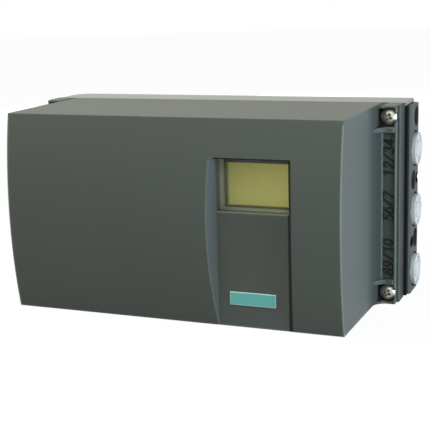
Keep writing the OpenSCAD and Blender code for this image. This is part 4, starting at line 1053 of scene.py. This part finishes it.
class POSITIONER_OT_electronics(bpy.types.Operator):
    """Board, chips with legs, small parts, posts, panel and ribbon"""
    bl_idname = "positioner.electronics"
    bl_label = "Electronics"

    def execute(self, context):
        sizes, colours = settings()
        dress(["main_board"], circuit_mask("solder_mask", colours.board))
        dress(["board_chips"], moulded("chip_resin", colours.black, rough=0.42), rounding=0.2 * MM)
        dress(["module_cover"], moulded("panel_plastic", colours.black), rounding=0.3 * MM)
        dress(["board_spacers"], turned("post_brass", colours.brass))
        dress(["board_screws", "module_cover_screws"], plated("steel_plate", colours.steel, rough=0.3))
        dress(["ribbon_cable"], ribbon("ribbon_cable", colours.cable))
        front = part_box("main_board")[0].y
        solder = bpy.data.materials["solder"]
        mesh_piece("chip_legs", self.legs(sizes, front), solder, "housing")
        spots = self.spots(front)
        size = np.array([2.0, 1.25, 0.6]) * MM
        body = rounded_block(size, 0.1 * MM)
        resin = moulded("small_part_resin", colours.resistor, rough=0.4)
        mesh_piece("small_parts", placed(body, TO_FRONT, spots), resin, "housing")
        end = rounded_block(np.array([0.45, 1.35, 0.66]) * MM, 0.08 * MM)
        ends = [(x + side * size[0] / 2, y, z) for x, y, z in spots for side in (-1, 1)]
        mesh_piece("small_part_ends", placed(end, TO_FRONT, ends), solder, "housing")
        return {"FINISHED"}

    def legs(self, sizes, front):
        """A leg at each pitch along all four sides of each chip, turned to point away from it."""
        shapes = []
        for x, z, width, height, thick in CHIPS:
            leg = gull_leg(sizes.leg_reach, 0.5 * thick * MM, width=0.42 * MM, thickness=0.15 * MM)
            for side in range(4):
                turn = side * math.pi / 2
                out = np.array([math.cos(turn), 0, math.sin(turn)])
                beside = np.array([-math.sin(turn), 0, math.cos(turn)])
                reach, run = (width, height) if side % 2 == 0 else (height, width)
                count = int(run * MM / sizes.leg_pitch) - 1
                steps = (np.arange(count) - (count - 1) / 2) * sizes.leg_pitch
                middle = np.array([x * MM, front, z * MM]) + out * reach / 2 * MM
                axes = np.array([out, beside, [0, -1, 0]])
                shapes.append(placed(leg, axes, [middle + beside * step for step in steps]))
        return joined(shapes)

    def spots(self, front):
        """Rows above and below the terminal blocks and between the chips: start across, height and count."""
        pitch = 3.4
        rows = [(-57, 36.2, 4), (-57, -36.2, 4), (-40, 4, 6), (-12, 0, 6), (12, -12, 5), (-6, 30, 6),
                (-14, -31, 6)]
        return [((x + pitch * step) * MM, front, z * MM) for x, z, count in rows for step in range(count)]


class POSITIONER_OT_drive(bpy.types.Operator):
    """Finishes of shaft, bush, gears, clutch and potentiometer"""
    bl_idname = "positioner.drive"
    bl_label = "Drive"

    def execute(self, context):
        _, colours = settings()
        steel = turned("turned_steel", colours.steel, rough=0.26)
        dress(["feedback_shaft", "potentiometer_spindle", "clutch_spring"], steel)
        dress(["shaft_bush"], turned("bush_bronze", colours.brass))
        dress(["retaining_rings"], turned("ring_steel", colours.black_steel, rough=0.4))
        dress(["drive_sector", "potentiometer_gear"], soft_plastic("gear_acetal", colours.gear))
        dress(["clutch_wheel", "potentiometer"], moulded("drive_plastic", colours.black))
        return {"FINISHED"}


class POSITIONER_OT_pneumatics(bpy.types.Operator):
    """Finishes of dust caps, manifold screws, throttles, valve block and silencer"""
    bl_idname = "positioner.pneumatics"
    bl_label = "Pneumatics"

    def execute(self, context):
        _, colours = settings()
        caps = ["port_cap_upper", "port_cap_middle", "port_cap_lower"]
        dress(caps, soft_plastic("cap_plastic", colours.cap))
        dress(["manifold_screws"], turned("black_oxide", colours.black_steel, axis="X", rough=0.45))
        throttles = ["throttle_screw_upper", "throttle_screw_lower"]
        dress(throttles, turned("throttle_brass", colours.brass, axis="X"))
        dress(["valve_block"], turned("machined_aluminium", colours.valve, axis="Z", rough=0.38))
        dress(["valve_block_screws"], plated("valve_screw_plate", colours.steel, rough=0.3))
        pilots = ["pilot_valve_upper", "pilot_valve_lower"]
        dress(pilots, moulded("pilot_resin", colours.black), rounding=0.4 * MM)
        dress(["exhaust_silencer"], sintered("sintered_bronze", colours.brass))
        return {"FINISHED"}


class POSITIONER_OT_entries(bpy.types.Operator):
    """Finishes of cable gland, blanking plug and earth screw"""
    bl_idname = "positioner.entries"
    bl_label = "Cable entries"

    def execute(self, context):
        _, colours = settings()
        plastic = moulded("gland_plastic", colours.black, edges=0.4 * MM)
        dress(["cable_gland_body", "cable_gland_nut", "entry_plug"], plastic)
        dress(["ground_screw"], plated("earth_plate", colours.nickel), rounding=0.15 * MM)
        return {"FINISHED"}


class POSITIONER_PT_panel(bpy.types.Panel):
    """Sizes, colours and the pieces' operators"""
    bl_label = "Positioner"
    bl_idname = "POSITIONER_PT_panel"
    bl_space_type = "VIEW_3D"
    bl_region_type = "UI"
    bl_category = "Positioner"

    def draw(self, context):
        for operator in OPERATORS:
            self.layout.operator(operator.bl_idname)
        for group in settings():
            for name in group.bl_rna.properties.keys():
                if name not in ("rna_type", "name"):
                    self.layout.prop(group, name)


OPERATORS = (
    POSITIONER_OT_stage,
    POSITIONER_OT_housing,
    POSITIONER_OT_cover_screws,
    POSITIONER_OT_rib_ends,
    POSITIONER_OT_port_numbers,
    POSITIONER_OT_mount_threads,
    POSITIONER_OT_display,
    POSITIONER_OT_label_plate,
    POSITIONER_OT_terminals,
    POSITIONER_OT_electronics,
    POSITIONER_OT_drive,
    POSITIONER_OT_pneumatics,
    POSITIONER_OT_entries,
)
CLASSES = (PositionerSizes, PositionerColours, *OPERATORS, POSITIONER_PT_panel)


def register():
    for made in CLASSES:
        bpy.utils.register_class(made)
    bpy.types.Scene.positioner_sizes = bpy.props.PointerProperty(type=PositionerSizes)
    bpy.types.Scene.positioner_colours = bpy.props.PointerProperty(type=PositionerColours)


def unregister():
    del bpy.types.Scene.positioner_colours
    del bpy.types.Scene.positioner_sizes
    for made in reversed(CLASSES):
        bpy.utils.unregister_class(made)


def main():
    register()
    bpy.ops.positioner.stage()
    bpy.ops.positioner.housing()
    bpy.ops.positioner.cover_screws()
    bpy.ops.positioner.rib_ends()
    bpy.ops.positioner.port_numbers()
    bpy.ops.positioner.mount_threads()
    bpy.ops.positioner.display()
    bpy.ops.positioner.label_plate()
    bpy.ops.positioner.terminals()
    bpy.ops.positioner.electronics()
    bpy.ops.positioner.drive()
    bpy.ops.positioner.pneumatics()
    bpy.ops.positioner.entries()


if __name__ == "__main__":
    main()
